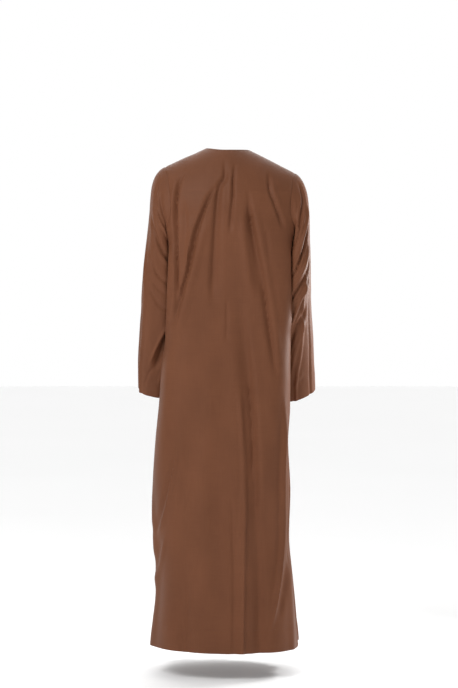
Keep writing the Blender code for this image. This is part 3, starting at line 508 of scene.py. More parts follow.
def ridge_z(x):
    """Height of the shoulder ridge over a place across the body."""
    slope = by_side(x, SHOULDER_SLOPE)
    return RIDGE_PEAK_Z - slope * (np.sqrt(x * x + RIDGE_ROUND**2) - RIDGE_ROUND)


def oval(girth, power):
    """(across, back) on a superellipse of half width and half depth 1."""
    s, c = np.sin(np.radians(girth)), np.cos(np.radians(girth))
    reach = (np.abs(s) ** power + np.abs(c) ** power) ** (-1.0 / power)
    return s * reach, c * reach


def ring_values(side, z):
    """The sleeve's ring at a height, with its tip and lean as slopes."""
    values = {name: smooth_column(SLEEVE_RINGS[side], name, z) for name in Ring._fields}
    for name in ("tip", "lean"):
        values[name] = np.tan(np.radians(values[name]))
    return values


def arm_limit(side, y, z):
    """How far out the body may reach beside the sleeve."""
    ring = ring_values(side, z)
    for _ in range(2):
        level = z + ring["tip"] * (y - ring["y"]) + ring["lean"] * ring["half_x"]
        ring = ring_values(side, level)
    half_x = ring["half_x"] + ARM_CLEARANCE
    half_y = ring["half_y"] + ARM_CLEARANCE + ARM_HOLLOW_SPARE
    off = np.abs(y - ring["y"])
    share = np.clip(off / half_y, 0.0, 1.0)
    middle = ring["x"] - half_x * ring["skew"] * np.clip(off / ring["half_y"], 0.0, 1.0) ** 2
    inside = middle - half_x * (1.0 - share**ARM_HOLLOW_POWER) ** (1.0 / ARM_HOLLOW_POWER)
    beside = middle + ARM_RELEASE_SIDE * (off - half_y)
    below = ARM_RELEASE_BELOW * np.maximum(SLEEVE_RINGS[side][-1].z - level, 0.0)
    above = ARM_RELEASE_ABOVE * np.maximum(z - ARM_START_Z, 0.0)
    return np.where(off < half_y, inside, beside) + below + above


def softly_least(value, limit, soft):
    """The lesser of two values, rounded where they meet."""
    return value - soft * np.logaddexp(0.0, (value - limit) / soft)


def base_body(girth, rise):
    """The body's surface without its folds."""
    z_low = BLADE_Z + np.minimum(rise, 0.0)
    section = {name: smooth_column(BODY_SECTIONS, name, z_low) for name in Section._fields[1:]}
    across, back = oval(girth, section["power"])
    x = across * by_side(across, section)
    depth = np.where(back >= 0.0, section["back"], section["front"])
    climb = np.clip(rise / ARCH, 0.0, 1.0) * math.pi / 2.0
    bend = np.where(back >= 0.0, BACK_ARCH_POWER, FRONT_ARCH_POWER)
    up = np.sin(climb) ** (2.0 / bend)
    out = np.maximum(np.cos(climb), 0.0) ** (2.0 / bend)
    hem_lift = HEM_RISE_LEFT * ease((BLADE_Z - z_low) / (BLADE_Z - HEM_Z)) * np.clip(across, 0.0, 1.0)
    y = RIDGE_Y * up + depth * back * out
    limit = by_side(x, {side: arm_limit(side, y, z_low) for side in SIDES})
    x = np.where(rise < 0.0, np.sign(x) * softly_least(np.abs(x), limit, ARM_SOFT), x)
    z = np.where(rise > 0.0, BLADE_Z + (ridge_z(x) - BLADE_Z) * up, z_low + hem_lift)
    return np.stack([x, y, z], axis=-1)


def body_normals(girth, rise):
    """Outward normals of the smooth body, kept off the crest of the ridge where its arch folds over."""
    turn, step = 0.4, 0.002
    held = np.minimum(rise, ARCH - 2.0 * step)
    along_girth = base_body(girth + turn, held) - base_body(girth - turn, held)
    along_rise = base_body(girth, held + step) - base_body(girth, held - step)
    return unit(np.cross(along_rise, along_girth))


def smooth_path(points):
    """A curve through a few points, as many short steps."""
    points = np.array(points, float)
    ends = [2.0 * points[0] - points[1], *points, 2.0 * points[-1] - points[-2]]
    made = []
    for p, q, r, s in zip(ends, ends[1:], ends[2:], ends[3:]):
        for t in np.linspace(0.0, 1.0, PATH_STEPS, endpoint=False):
            square = (2.0 * p - 5.0 * q + 4.0 * r - s) * t**2
            cube = (3.0 * q - p - 3.0 * r + s) * t**3
            made.append(0.5 * (2.0 * q + (r - p) * t + square + cube))
    made.append(points[-1])
    return np.array(made)


def crease_height(u, v, scale, path, wide, deep, lean=0.0):
    """How far one crease moves each place (u, v) out."""
    path, wide = smooth_path(path) * scale, np.array(wide) * MM
    reach = CREASE_REACH * wide.max() * (1.0 + abs(lean))
    low, high = path.min(axis=0) - reach, path.max(axis=0) + reach
    near = (u > low[0]) & (u < high[0]) & (v > low[1]) & (v < high[1])
    height = np.zeros(u.shape)
    if not near.any():
        return height
    at = np.stack([u[near], v[near]], axis=-1)
    run, gone = np.diff(path, axis=0), travelled(path)
    length = np.diff(gone)
    off = at[:, None, :] - path[:-1]
    t = np.clip((off * run).sum(-1) / length**2, 0.0, 1.0)
    away = off - run * t[..., None]
    apart = np.linalg.norm(away, axis=-1)
    best = apart.argmin(axis=1)
    pick = np.arange(len(at)), best
    share = (gone[best] + t[pick] * length[best]) / gone[-1]
    turn = np.sign(run[best, 0] * away[pick][:, 1] - run[best, 1] * away[pick][:, 0])
    width = spread(wide[0], wide[1], share) * (1.0 + lean * turn)
    q = (apart[pick] / width) ** 2
    along = ease(share / FADE) * ease((1.0 - share) / FADE)
    height[near] = deep * MM * along * (1.0 - FLANK * q) * np.exp(-q)
    return height


def waves(u, v, seed, shortest, longest, stretch):
    """Smooth unevenness of about unit height, drawn out along v."""
    draw = np.random.default_rng(seed)
    total = np.zeros(np.broadcast(u, v).shape)
    for _ in range(WAVE_COUNT):
        size = shortest * (longest / shortest) ** draw.random()
        turn = draw.random() * 2.0 * math.pi
        start = draw.random() * 2.0 * math.pi
        along = (u * math.cos(turn) + v / stretch * math.sin(turn)) / size
        total += np.sin(2.0 * math.pi * along + start) * (size / longest)
    return total * math.sqrt(2.0 / WAVE_COUNT)


def no_ridges(relief, share):
    """Takes a share of what stands out away, and leaves what lies in."""
    return np.where(relief > 0.0, relief * (1.0 - share), relief)


def body_relief(place, girth):
    """How far the folds and unevenness of the cloth move the body's surface out."""
    across, back = oval(girth, 2.0)
    x, y, z = np.moveaxis(place, -1, 0)
    faces = {"back": (x, back), "front": (x, -back), "left": (y, across), "right": (y, -across)}
    total = np.zeros(x.shape)
    for face, creases in BODY_CREASES.items():
        u, facing = faces[face]
        for crease in creases:
            total += crease_height(u, z, BODY_SCALE, *crease) * ease(facing / FACE_EDGE)
    # A metre between the front and the back keeps their waves from being alike
    total += UNEVEN * waves(x + np.where(back > 0.0, 0.0, 1.0), z + y, *BODY_WAVES)
    beside_arm = eased_from(np.abs(across), *BESIDE_ARM) * eased_from(z, *BESIDE_ARM_END)
    return no_ridges(total, beside_arm)


def body_surface(girth, rise):
    """The outer surface of the body cloth, with its seams drawn in."""
    girth, rise = np.broadcast_arrays(np.asarray(girth, float), np.asarray(rise, float))
    place = base_body(girth, rise)
    lift = body_relief(place, girth) + seam_dip(place) + hem_relief(place)
    return place + body_normals(girth, rise) * lift[..., None]


def distance_to(line, place):
    """Distance of each place from the nearest point of a line of close points."""
    flat = place.reshape(-1, 3)
    least = np.full(len(flat), np.inf)
    for part in np.array_split(line, len(line) // 32):
        apart = np.linalg.norm(flat[:, None, :] - part, axis=-1)
        least = np.minimum(least, apart.min(axis=1))
    return least.reshape(place.shape[:-1])


def seam_dip(place):
    """Cloth rolls in at its seams, unevenly, and less at the pressed seam of the yoke."""
    x, y, z = np.moveaxis(place, -1, 0)
    by_yoke = np.where(y > RIDGE_Y, np.abs(z - YOKE_SEAM_Z), 1.0)
    uneven = 1.0 + SEAM_UNEVEN * waves(x + y, z, *SEAM_WAVES)
    dip = bell(distance_to(SEAM_LINE, place), SEAM_SOFT) + YOKE_SINK * bell(by_yoke, SEAM_SOFT)
    return -SEAM_SINK * uneven * dip


def puckers(along, off, seed):
    """Small gathers at a row of stitches, and the groove that the thread pulls."""
    ripple = waves(along, off * PUCKER_DRAWN, seed, *PUCKER_WAVES)
    patchy = 1.0 - PATCHY + PATCHY * waves(along, 0.0, seed + 1, *PATCH_WAVES)
    return PUCKER * ripple * patchy * bell(off, PUCKER_WIDE) - GROOVE * bell(off, GROOVE_WIDE)


def hem_relief(place):
    """The hem's stitched line and the slight swell of its folded edge."""
    x, y, z = np.moveaxis(place, -1, 0)
    up = z - HEM_Z - HEM_RISE_LEFT * np.clip(x / HEM_HALF, 0.0, 1.0)
    swell = HEM_SWELL * ease(1.0 - np.abs(up - 0.5 * HEM_DEPTH) / (0.5 * HEM_DEPTH))
    stitched = puckers(np.arctan2(x, y) * HEM_RADIUS, up - HEM_DEPTH, HEM_SEED)
    return stitched - HEM_EDGE * bell(up, EDGE_WIDE) + swell


def rise_at(x, z, bend):
    """How far up the arch the surface reaches a height, at a place across the body."""
    up = np.clip((z - BLADE_Z) / (ridge_z(x) - BLADE_Z), 0.0, 1.0)
    return ARCH * np.arcsin(up ** (bend / 2.0)) * 2.0 / math.pi


def girth_of(across):
    """Girth angle on the back at which the blade line's section reaches a share of its half width."""
    back = (1.0 - across**TOP.power) ** (1.0 / TOP.power)
    return np.degrees(np.arctan2(across, back))


def armhole_girth(side, rise):
    """Girth from the centre of the back to the armhole seam above the blade line, as a positive angle."""
    climb = ease(np.asarray(rise, float) / ARCH)
    return girth_of(spread(BLADE_SEAM_X[side], SHOULDER_X[side], climb) / TOP_HALF[side])


def underarm_rise(side, girth):
    """Rise of the armhole seam where it curves under the arm, at a girth between the blade and the side."""
    _, back = oval(girth, TOP.power)
    _, blade_back = oval(armhole_girth(side, 0.0), TOP.power)
    curve = np.sqrt(np.maximum(1.0 - (back / blade_back) ** 2, 0.0))
    return (UNDERARM_Z - BLADE_Z) * curve


def top_x(girth):
    """Place across the body of a back girth on the shoulder's arch."""
    across, _ = oval(girth, TOP.power)
    return across * by_side(across, TOP_HALF)


def neck_girth(side):
    """Back girth on the blade line of the column that reaches the neck's side on the ridge."""
    reached = girth_of(NECK_X[side] / TOP_HALF[side])
    return float(reached * armhole_girth(side, 0.0) / armhole_girth(side, ARCH))


def half_columns(side):
    """Back girths on the blade line from the centre out: over the neck, the shoulder and the side."""
    edge = float(armhole_girth(side, 0.0))
    neck = neck_girth(side)
    sweep = math.radians(NECK_COLUMN_SWEEP)
    across_neck = np.sin(np.linspace(0.0, sweep, NECK_COLUMNS + 1)) / math.sin(sweep) * neck
    outside = steps_to(neck, edge, SHOULDER_COLUMNS), steps_to(edge, 90.0, SIDE_COLUMNS)
    return np.concatenate([across_neck, *outside])


COLUMNS = np.concatenate([-half_columns("right")[::-1], half_columns("left")[1:]])
CENTRE = len(COLUMNS) // 2
CORE = slice(SIDE_COLUMNS, len(COLUMNS) - SIDE_COLUMNS)


def narrowed(girth, rise):
    """Girths moved in with the armhole seam as it climbs from the blade line to the shoulder."""
    shares = {side: armhole_girth(side, rise) / armhole_girth(side, 0.0) for side in SIDES}
    return girth * by_side(girth, shares)


def yoke_rise(girth):
    """Rise of the level seam between the back and the yoke, at a girth of the blade line."""
    rise = rise_at(top_x(girth), YOKE_SEAM_Z, BACK_ARCH_POWER)
    return rise_at(top_x(narrowed(girth, rise)), YOKE_SEAM_Z, BACK_ARCH_POWER)


def front_of(girth):
    """The girth on the front that faces a girth on the back."""
    return np.where(girth >= 0.0, 180.0 - girth, -180.0 - girth)


def blade_rise(girth):
    """Rise of the blade line, and of the armhole seam beyond it."""
    edge = by_side(girth, {side: armhole_girth(side, 0.0) for side in SIDES})
    held = np.maximum(np.abs(girth), edge)
    curve = by_side(girth, {side: underarm_rise(side, held) for side in SIDES})
    return np.where(np.abs(girth) > edge + 1e-9, curve, 0.0)


def lower_rows(columns):
    """Rises of the rows from the hem up to the blade line and the armholes' lower curve."""
    stages = (
        (HEM_Z + HEM_DEPTH, HEM_ROWS),
        (HIP_Z, SKIRT_ROWS),
        (PLACKET_END_Z, HIP_ROWS),
        (SLIT_END_Z, SLIT_FOOT_ROWS),
        (CHEST_Z, WAIST_ROWS),
    )
    levels = [HEM_Z]
    for high, count in stages:
        levels.extend(steps_to(levels[-1], high, count))
    rows = [np.full(len(columns), z - BLADE_Z) for z in levels]
    top = blade_rise(columns)
    return rows + [spread(rows[-1], top, share) for share in steps_to(0.0, 1.0, UNDERARM_ROWS)]


def neck_share(columns):
    """0 on the centre line to 1 at the neck's sides, and more beyond."""
    return np.abs(columns) / by_side(columns, {side: neck_girth(side) for side in SIDES})


def back_neck_rise(columns):
    """Rise at which the back neckline cuts the arch, or the ridge beside the neck."""
    share = neck_share(columns)
    x = top_x(narrowed(columns, ARCH))
    side_z = by_side(x, {side: ridge_z(SIGN[side] * NECK_X[side]) for side in SIDES})
    z = spread(BACK_NECK_Z, side_z, np.clip(share, 0.0, 1.0) ** 2)
    return np.where(share > 0.999, ARCH, rise_at(x, z, BACK_ARCH_POWER))


def front_neck_rise(columns):
    """Rise at which the front neckline cuts the arch, or the yoke's front seam beside the neck."""
    share = np.clip(neck_share(columns), 0.0, 1.0)
    low = rise_at(top_x(columns), FRONT_NECK_Z, FRONT_ARCH_POWER)
    return spread(FRONT_YOKE_RISE, low, np.sqrt(1.0 - share**2))


def armhole_loop(side):
    """Girth and rise of the armhole seam, from the ridge down the back, under the arm and up the front.

    Returns the number of the lowest point as well.
    """
    edge = float(armhole_girth(side, 0.0))
    under = np.linspace(edge, 90.0, SIDE_COLUMNS + 1)
    down, up = under[1:], under[-2::-1]
    seam = float(yoke_rise(np.array(SIGN[side] * edge)))
    back = np.concatenate([[ARCH], steps_to(ARCH, seam, YOKE_ROWS), steps_to(seam, 0.0, BACK_CHEST_ROWS)])
    chest = steps_to(0.0, FRONT_YOKE_RISE, FRONT_CHEST_ROWS)
    front = np.concatenate([chest, steps_to(FRONT_YOKE_RISE, ARCH, YOKE_FRONT_ROWS)[:-1]])
    girth = armhole_girth(side, back), down, 180.0 - up, 180.0 - armhole_girth(side, front)
    rise = back, underarm_rise(side, down), underarm_rise(side, up), front
    return SIGN[side] * np.concatenate(girth), np.concatenate(rise), len(back) + len(down) - 1


def seam_lines():
    """Points along the seams of the body: armholes, sides and the yoke's front."""
    side_rise = np.linspace(HEM_Z - BLADE_Z, UNDERARM_Z - BLADE_Z, SIDE_SEAM_POINTS)
    yoke_rise_there = np.full(YOKE_SEAM_POINTS, FRONT_YOKE_RISE)
    lines = []
    for side, sign in SIGN.items():
        lines.append(base_body(*armhole_loop(side)[:2]))
        lines.append(base_body(np.full(SIDE_SEAM_POINTS, 90.0 * sign), side_rise))
        edge = np.linspace(neck_girth(side), float(armhole_girth(side, 0.0)), YOKE_SEAM_POINTS)
        lines.append(base_body(front_of(sign * narrowed(edge, FRONT_YOKE_RISE)), yoke_rise_there))
    return np.concatenate(lines)


SEAM_LINE = seam_lines()


def cells_at(i, j, width):
    """Corners of the cells (i, j) of a grid whose rows are width points long and join up."""
    near, far = i * width + j, i * width + (j + 1) % width
    return np.stack([near, far, far + width, near + width], axis=1)


def corner_normals(points, cells):
    """Unit normals at the points of a grid, from its cells."""
    a, b, c, d = (points[k] for k in cells.T)
    face = np.cross(c - a, d - b)
    total = np.zeros_like(points)
    for k in cells.T:
        np.add.at(total, k, face)
    return unit(total)


def shell(name, outer, sign, thick, weave, look, kept=None, closed=False):
    """A piece of cloth: a thin closed wall below a grid of outer points, with its weave in metres.

    Returns the object, the grid and its outward normals.
    """
    rows, columns = outer.shape[:2]
    if kept is None:
        kept = np.ones((rows - 1, columns if closed else columns - 1), bool)
    i, j = np.nonzero(kept)
    cells, laid = cells_at(i, j, columns), cells_at(i, j, columns + 1)
    points = outer.reshape(-1, 3)
    out = sign * corner_normals(points, cells)
    if sign < 0.0:
        cells, laid = cells[:, ::-1], laid[:, ::-1]
    below = rows * columns
    edges = np.concatenate([cells[:, [n, (n + 1) % 4]] for n in range(4)])
    edges_laid = np.concatenate([laid[:, [n, (n + 1) % 4]] for n in range(4)])
    _, first, count = np.unique(np.sort(edges, axis=1), axis=0, return_index=True, return_counts=True)
    rim, rim_laid = edges[first[count == 1]], edges_laid[first[count == 1]]
    rim = np.stack([rim[:, 1], rim[:, 0], rim[:, 0] + below, rim[:, 1] + below], axis=1)
    faces = np.concatenate([cells, cells[:, ::-1] + below, rim])
    corners = np.concatenate([laid, laid[:, ::-1], rim_laid[:, [1, 0, 0, 1]]])
    used, place = np.unique(faces, return_inverse=True)
    both = np.concatenate([points, points - out * thick.reshape(-1, 1)])
    mesh = bpy.data.meshes.new(name)
    mesh.from_pydata(both[used].tolist(), [], place.reshape(faces.shape).tolist())
    layer = mesh.uv_layers.new(name="weave")
    layer.data.foreach_set("uv", weave.reshape(-1, 2)[corners.ravel()].astype(np.float32).ravel())
    return add_piece(name, mesh, look, CLOTH_SHARP), outer, out.reshape(outer.shape)


def link(made):
    """Puts an object into the scene."""
    bpy.context.scene.collection.objects.link(made)


def add_piece(name, mesh, look, sharp=None):
    """A smooth piece with its look, sharp where its faces meet at more than an angle in degrees."""
    material, slot = look
    mesh.shade_smooth()
    if sharp:
        mesh.set_sharp_from_angle(angle=math.radians(sharp))
    mesh.materials.append(material)
    made = bpy.data.objects.new(name, mesh)
    link(made)
    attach(made, "root")
    return made


def body_weave(outer, up, centre):
    """Where each point of a body panel lies on its flat cloth, in metres from the centre line."""
    gone = travelled(outer, 1)
    flat = np.stack([gone - gone[:, centre : centre + 1], up], axis=-1)
    return np.concatenate([flat, flat[:, -1:]], axis=1)


def panel(name, girth, rise, sign, look, centre=CENTRE, yoke=False, chest=0, gap=None):
    """A panel of the body on a grid of girths and rises, without the cells beside its chest rows.

    Gap is the rows and columns of cells left open in it. The yoke has no hem at its first rows.
    """
    girth, rise = np.array(girth), np.array(rise)
    rows, columns = rise.shape
    kept = np.ones((rows - 1, columns - 1), bool)
    if chest:
        kept[-chest:, :SIDE_COLUMNS] = False
        kept[-chest:, columns - 1 - SIDE_COLUMNS :] = False
    if gap:
        kept[gap] = False
    outer = body_surface(girth, rise)
    thick = np.full(rise.shape, CLOTH)
    if not yoke:
        thick[: HEM_ROWS + 1] = HEM_CLOTH
    weave = body_weave(outer, travelled(outer) if yoke else rise, centre)
    return shell(name, outer, sign, thick, weave, look, kept)


def build_back(look):
    rise = lower_rows(COLUMNS)
    girth = [COLUMNS] * len(rise)
    held = np.clip(COLUMNS, -armhole_girth("right", 0.0), armhole_girth("left", 0.0))
    seam = yoke_rise(held)
    for share in steps_to(0.0, 1.0, BACK_CHEST_ROWS):
        rise.append(seam * share)
        girth.append(narrowed(COLUMNS, seam * share))
    return panel("back_cloth", girth, rise, -1.0, look, chest=BACK_CHEST_ROWS)


def build_yoke(look):
    """The yoke lies over the shoulders, from the seam across the blades to just before the ridge."""
    columns = COLUMNS[CORE]
    neck, seam = back_neck_rise(columns), yoke_rise(columns)
    girth, rise = [], []
    for share in np.linspace(0.0, 1.0, YOKE_ROWS + 1):
        girth.append(narrowed(columns, spread(seam, ARCH, share)))
        rise.append(spread(seam, neck, share))
    for edge in steps_to(ARCH, FRONT_YOKE_RISE, YOKE_FRONT_ROWS):
        girth.append(front_of(narrowed(columns, edge)))
        rise.append(np.full(len(columns), edge))
    neck_gap = np.s_[YOKE_ROWS:, SHOULDER_COLUMNS : len(columns) - 1 - SHOULDER_COLUMNS]
    centre = len(columns) // 2
    return panel("yoke_cloth", girth, rise, -1.0, look, centre, yoke=True, gap=neck_gap)


def build_front(look):
    """The front is one piece with a slit down its centre from the neck."""
    slit = math.degrees(math.asin(0.5 * SLIT_WIDTH / TOP.left))
    columns = np.concatenate([COLUMNS[:CENTRE], [-slit, slit], COLUMNS[CENTRE + 1 :]])
    rise = lower_rows(columns)
    girth = [front_of(columns)] * len(rise)
    top = front_neck_rise(columns)
    for share in steps_to(0.0, 1.0, FRONT_CHEST_ROWS):
        rise.append(top * share)
        girth.append(front_of(narrowed(columns, FRONT_YOKE_RISE * share)))
    slit_gap = np.s_[SLIT_ROW:, CENTRE]
    return panel("front_cloth", girth, rise, 1.0, look, chest=FRONT_CHEST_ROWS, gap=slit_gap)


def loop_angles(points, lowest):
    """Angle round the sleeve of each armhole point by distance: 0 on the ridge, 180 under the arm."""
    gone = travelled(np.concatenate([points, points[:1]]))
    return np.interp(gone[:-1], [0.0, gone[lowest], gone[-1]], [0.0, 180.0, 360.0])


def ring_point(side, level, angle):
    """The smooth sleeve at a level from 0, its first ring, to 1, the cuff, and an angle round it."""
    rings = SLEEVE_RINGS[side]
    ring = ring_values(side, np.full(len(angle), spread(rings[0].z, rings[-1].z, level)))
    c, s = np.cos(np.radians(angle)), np.sin(np.radians(angle))
    power = np.where(c > 0.0, ring["outer"], ring["power"])
    reach = (np.abs(c) ** power + np.abs(s) ** power) ** (-1.0 / power)
    dx = ring["half_x"] * (c * reach - ring["skew"] * (s * reach) ** 2)
    dy = ring["half_y"] * s * reach
    z = ring["z"] - ring["tip"] * dy + ring["lean"] * dx
    return np.stack([SIGN[side] * (ring["x"] + dx), ring["y"] + dy, z], axis=-1)


def around(values, angle):
    """A value for the top, the back and front, and under the arm, eased round the sleeve."""
    top, middle, under = values
    share = np.abs((angle + 180.0) % 360.0 - 180.0) / 90.0
    lower = spread(middle, under, ease(share - 1.0))
    return np.where(share < 1.0, spread(top, middle, ease(share)), lower)[:, None]


def smooth_sleeve(side):
    """Rings of points from the armhole to the cuff, with their angles, before the creases."""
    girth, rise, lowest = armhole_loop(side)
    place = base_body(girth, rise)
    seam_out = body_normals(girth, rise)
    seam = place + seam_out * body_relief(place, girth)[:, None]
    run = np.roll(seam, -1, axis=0) - np.roll(seam, 1, axis=0)
    off = unit(np.cross(run, seam_out))
    off *= np.sign(off[:, 0].sum() * SIGN[side])
    angle0 = loop_angles(seam, lowest)
    even = np.linspace(0.0, 360.0, len(seam), endpoint=False)
    first = ring_point(side, 0.0, angle0)
    leave = off * around(CAP_START[side], angle0)
    arrive = unit(ring_point(side, 0.01, angle0) - first) * around(CAP_END, angle0)
    rows, angles = [], []
    for t in np.linspace(0.0, 1.0, CAP_ROWS + 1):
        rows.append(hermite(t, seam + off * SEAM_GAP, leave, first, arrive))
        angles.append(angle0)
    for level in steps_to(0.0, 1.0, SLEEVE_ROWS):
        angles.append(spread(angle0, even, ease(level * 2.0)))
        rows.append(ring_point(side, level, angles[-1]))
    return np.array(rows), np.array(angles)


def build_sleeve(side, look):
    smooth, angles = smooth_sleeve(side)
    gone = travelled(smooth)
    left = gone[-1:] - gone
    turn = (angles + 180.0) % 360.0 - 180.0
    u, height = np.radians(turn) * SLEEVE_RADIUS, smooth[..., 2]
    relief = np.zeros(turn.shape)
    for crease in SLEEVE_CREASES[side] + SLEEVE_CREASES["both"]:
        relief += crease_height(u, height, SLEEVE_SCALE, *crease)
    relief = no_ridges(relief, eased_from(np.abs(turn), *INNER_SIDE))
    relief += UNEVEN * waves(u, height, *SLEEVE_WAVES[side])
    relief *= ease(gone / CAP_SMOOTH)
    relief += puckers(u, left - CUFF_HEM_DEPTH, CUFF_SEED[side]) - CUFF_EDGE * bell(left, EDGE_WIDE)
    head_at, head_wide = SLEEVE_HEAD_AT
    relief += SLEEVE_HEAD * bell(gone - head_at, head_wide) * ease(1.0 - np.abs(turn) / SLEEVE_HEAD_END)
    relief -= SEAM_SINK * (1.0 + SEAM_UNEVEN * waves(u, 0.0, *ARMHOLE_WAVES)) * bell(gone, SEAM_SOFT)
    round_it = np.roll(smooth, -1, axis=1) - np.roll(smooth, 1, axis=1)
    outward = SIGN[side] * unit(np.cross(np.gradient(smooth, axis=0), round_it))
    outer = smooth + outward * relief[..., None]
    girths = np.linalg.norm(outer - np.roll(outer, 1, axis=1), axis=2).sum(axis=1)
    laid = np.concatenate([angles, angles[:, :1] + 360.0], axis=1) / 360.0 * girths.mean()
    weave = np.stack([laid, -np.concatenate([gone, gone[:, :1]], axis=1)], axis=-1)
    thick = np.where(left < CUFF_HEM_DEPTH, HEM_CLOTH, CLOTH)
    return shell("sleeve_cloth_" + side, outer, -SIGN[side], thick, weave, look, closed=True)


def strand(name, path, out, look, length=STITCH, gap=STITCH_GAP, radius=THREAD):
    """A row of stitches along a path on the cloth, each a short thread that dips in at its ends."""
    path, out = np.array(path), np.array(out)
    gone = travelled(path)
    count = max(1, int(gone[-1] / (length + gap)))
    starts = (np.arange(count) + 0.5) * gone[-1] / count - 0.5 * length
    at = starts[:, None] + STITCH_SHARES * length
    middle = np.stack([np.interp(at, gone, path[:, n]) for n in range(3)], axis=-1)
    up = unit(np.stack([np.interp(at, gone, out[:, n]) for n in range(3)], axis=-1))
    side = unit(np.cross(np.broadcast_to(middle[:, -1:] - middle[:, :1], up.shape), up))
    middle = middle + up * (STITCH_HEIGHT * radius)[None, :, None]
    turn = np.linspace(0.0, 2.0 * math.pi, THREAD_SIDES, endpoint=False)[:, None]
    ring = side[..., None, :] * np.cos(turn) + up[..., None, :] * np.sin(turn)
    points = middle[..., None, :] + ring * (STITCH_SWELL * radius)[None, :, None, None]
    i, j = np.indices((len(STITCH_SHARES) - 1, THREAD_SIDES)).reshape(2, -1)
    per = len(STITCH_SHARES) * THREAD_SIDES
    first = (np.arange(count) * per)[:, None]
    k = np.arange(THREAD_SIDES)
    faces = (first[:, :, None] + cells_at(i, j, THREAD_SIDES)[None]).reshape(-1, 4).tolist()
    faces += (first + k[::-1]).tolist() + (first + per - THREAD_SIDES + k).tolist()
    mesh = bpy.data.meshes.new(name)
    mesh.from_pydata(points.reshape(-1, 3).tolist(), [], faces)
    return add_piece(name, mesh, look)


def line_in(outer, out, distance):
    """The line a distance in from a grid's last row, and its normals."""
    gone = travelled(outer[::-1])
    grid = np.concatenate([outer, out], axis=-1)[::-1]
    columns = range(outer.shape[1])
    line = np.array([[np.interp(distance, gone[:, j], grid[:, j, n]) for n in range(6)] for j in columns])
    return line[:, :3], line[:, 3:]


def build_placket(outer_lift, name, look):
    """A band down the slit, on the front's surface moved out or in. Returns its grid and normals too."""
    edge = np.degrees(0.5 * PLACKET_WIDTH / TOP.left) * PLACKET_SPARE
    fine = np.linspace(-edge, edge, PLACKET_FINE)
    top = float(front_neck_rise(np.array([0.0]))[0])
    levels = np.linspace(PLACKET_END_Z - BLADE_Z, top, PLACKET_ROWS)
    wanted = np.linspace(-0.5, 0.5, PLACKET_COLUMNS) * PLACKET_WIDTH
    girth = []
    for level in levels:
        x = base_body(front_of(fine), np.full(len(fine), level))[:, 0]
        girth.append(front_of(np.interp(wanted, x, fine)))
    girth = np.array(girth)
    rise = np.repeat(levels[:, None], PLACKET_COLUMNS, axis=1)
    across = np.abs(np.linspace(-1.0, 1.0, PLACKET_COLUMNS))
    lift = outer_lift - BAND_EDGE * eased_from(across, *BAND_EDGE_FROM) * np.ones(rise.shape)
    if outer_lift > 0.0:
        lift += PUCKER * 0.5 * waves(wanted * 3.0, rise - levels[0], *BAND_WAVES)
    outer = body_surface(girth, rise) + body_normals(girth, rise) * lift[..., None]
    weave = body_weave(outer, rise, PLACKET_COLUMNS // 2)
    return shell(name, outer, 1.0, np.full(rise.shape, PLACKET_WALL), weave, look)


def button_points(middle, side, up, away):
    """A flat button with a raised rim, a dished middle and four holes."""
    share = np.concatenate([np.linspace(*rings) for rings in BUTTON_RINGS])[:, None]
    turn = np.linspace(0.0, 2.0 * math.pi, BUTTON_SIDES, endpoint=False)
    x, y = share * BUTTON_RADIUS * np.cos(turn), share * BUTTON_RADIUS * np.sin(turn)
    rim_at, rim_wide = BUTTON_RIM_AT
    height = BUTTON_DISH + (1.0 - BUTTON_DISH) * bell(share - rim_at, rim_wide)
    height = np.repeat(height - BUTTON_EDGE * eased_from(share, *BUTTON_EDGE_FROM), BUTTON_SIDES, axis=1)
    for sx in (-1.0, 1.0):
        for sy in (-1.0, 1.0):
            hole = np.hypot(x - sx * BUTTON_HOLE_OFF, y - sy * BUTTON_HOLE_OFF)
            height -= BUTTON_HOLE_DEEP * ease(BUTTON_HOLE_SOFT - hole / BUTTON_HOLE)
    top = middle + x[..., None] * side + y[..., None] * up + BUTTON_THICK * height[..., None] * away
    low = middle + BUTTON_FOOT * (x[-1:, :, None] * side + y[-1:, :, None] * up)
    return np.concatenate([top, low])


def build_button(name, front_line, front_out, look):
    """A button in place of its node. Returns its foot's middle and its three directions."""
    centre = 0.5 * np.sum(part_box(name), axis=0)
    at = int(np.argmin(np.linalg.norm(front_line - centre, axis=1)))
    away = unit(front_out[at])
    up = unit(np.array([0.0, 0.0, 1.0]) - away * away[2])
    side = np.cross(up, away)
    middle = centre - away * 0.5 * BUTTON_THICK
    grid = button_points(middle, side, up, away)
    # The first row is one point, the button's middle
    points = grid.reshape(-1, 3)[BUTTON_SIDES - 1 :]
    faces = [(0, 1 + k, 1 + (k + 1) % BUTTON_SIDES) for k in range(BUTTON_SIDES)]
    i, j = np.indices((len(grid) - 2, BUTTON_SIDES)).reshape(2, -1)
    faces += (1 + cells_at(i, j, BUTTON_SIDES)[:, [0, 3, 2, 1]]).tolist()
    last = len(points) - 1
    faces.append(list(range(last, last - BUTTON_SIDES, -1)))
    mesh = bpy.data.meshes.new(name)
    mesh.from_pydata(points.tolist(), [], faces)
    piece = add_piece(name + "_look", mesh, look, BUTTON_SHARP)
    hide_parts(name)
    return middle, side, up, away


def build_button_thread(name, middle, side, up, away, look):
    """Two threads between a button's holes."""
    for n, sign in enumerate((-1.0, 1.0)):
        place = middle + away * BUTTON_THICK * BUTTON_DISH + side * sign * BUTTON_HOLE_OFF
        ends = [place - up * BUTTON_HOLE_OFF, place + up * BUTTON_HOLE_OFF]
        length = 2.0 * BUTTON_HOLE_OFF * BUTTON_THREAD_SHARE
        strand("%s_%d" % (name, n + 1), ends, [away, away], look, length, 0.0, BUTTON_THREAD)


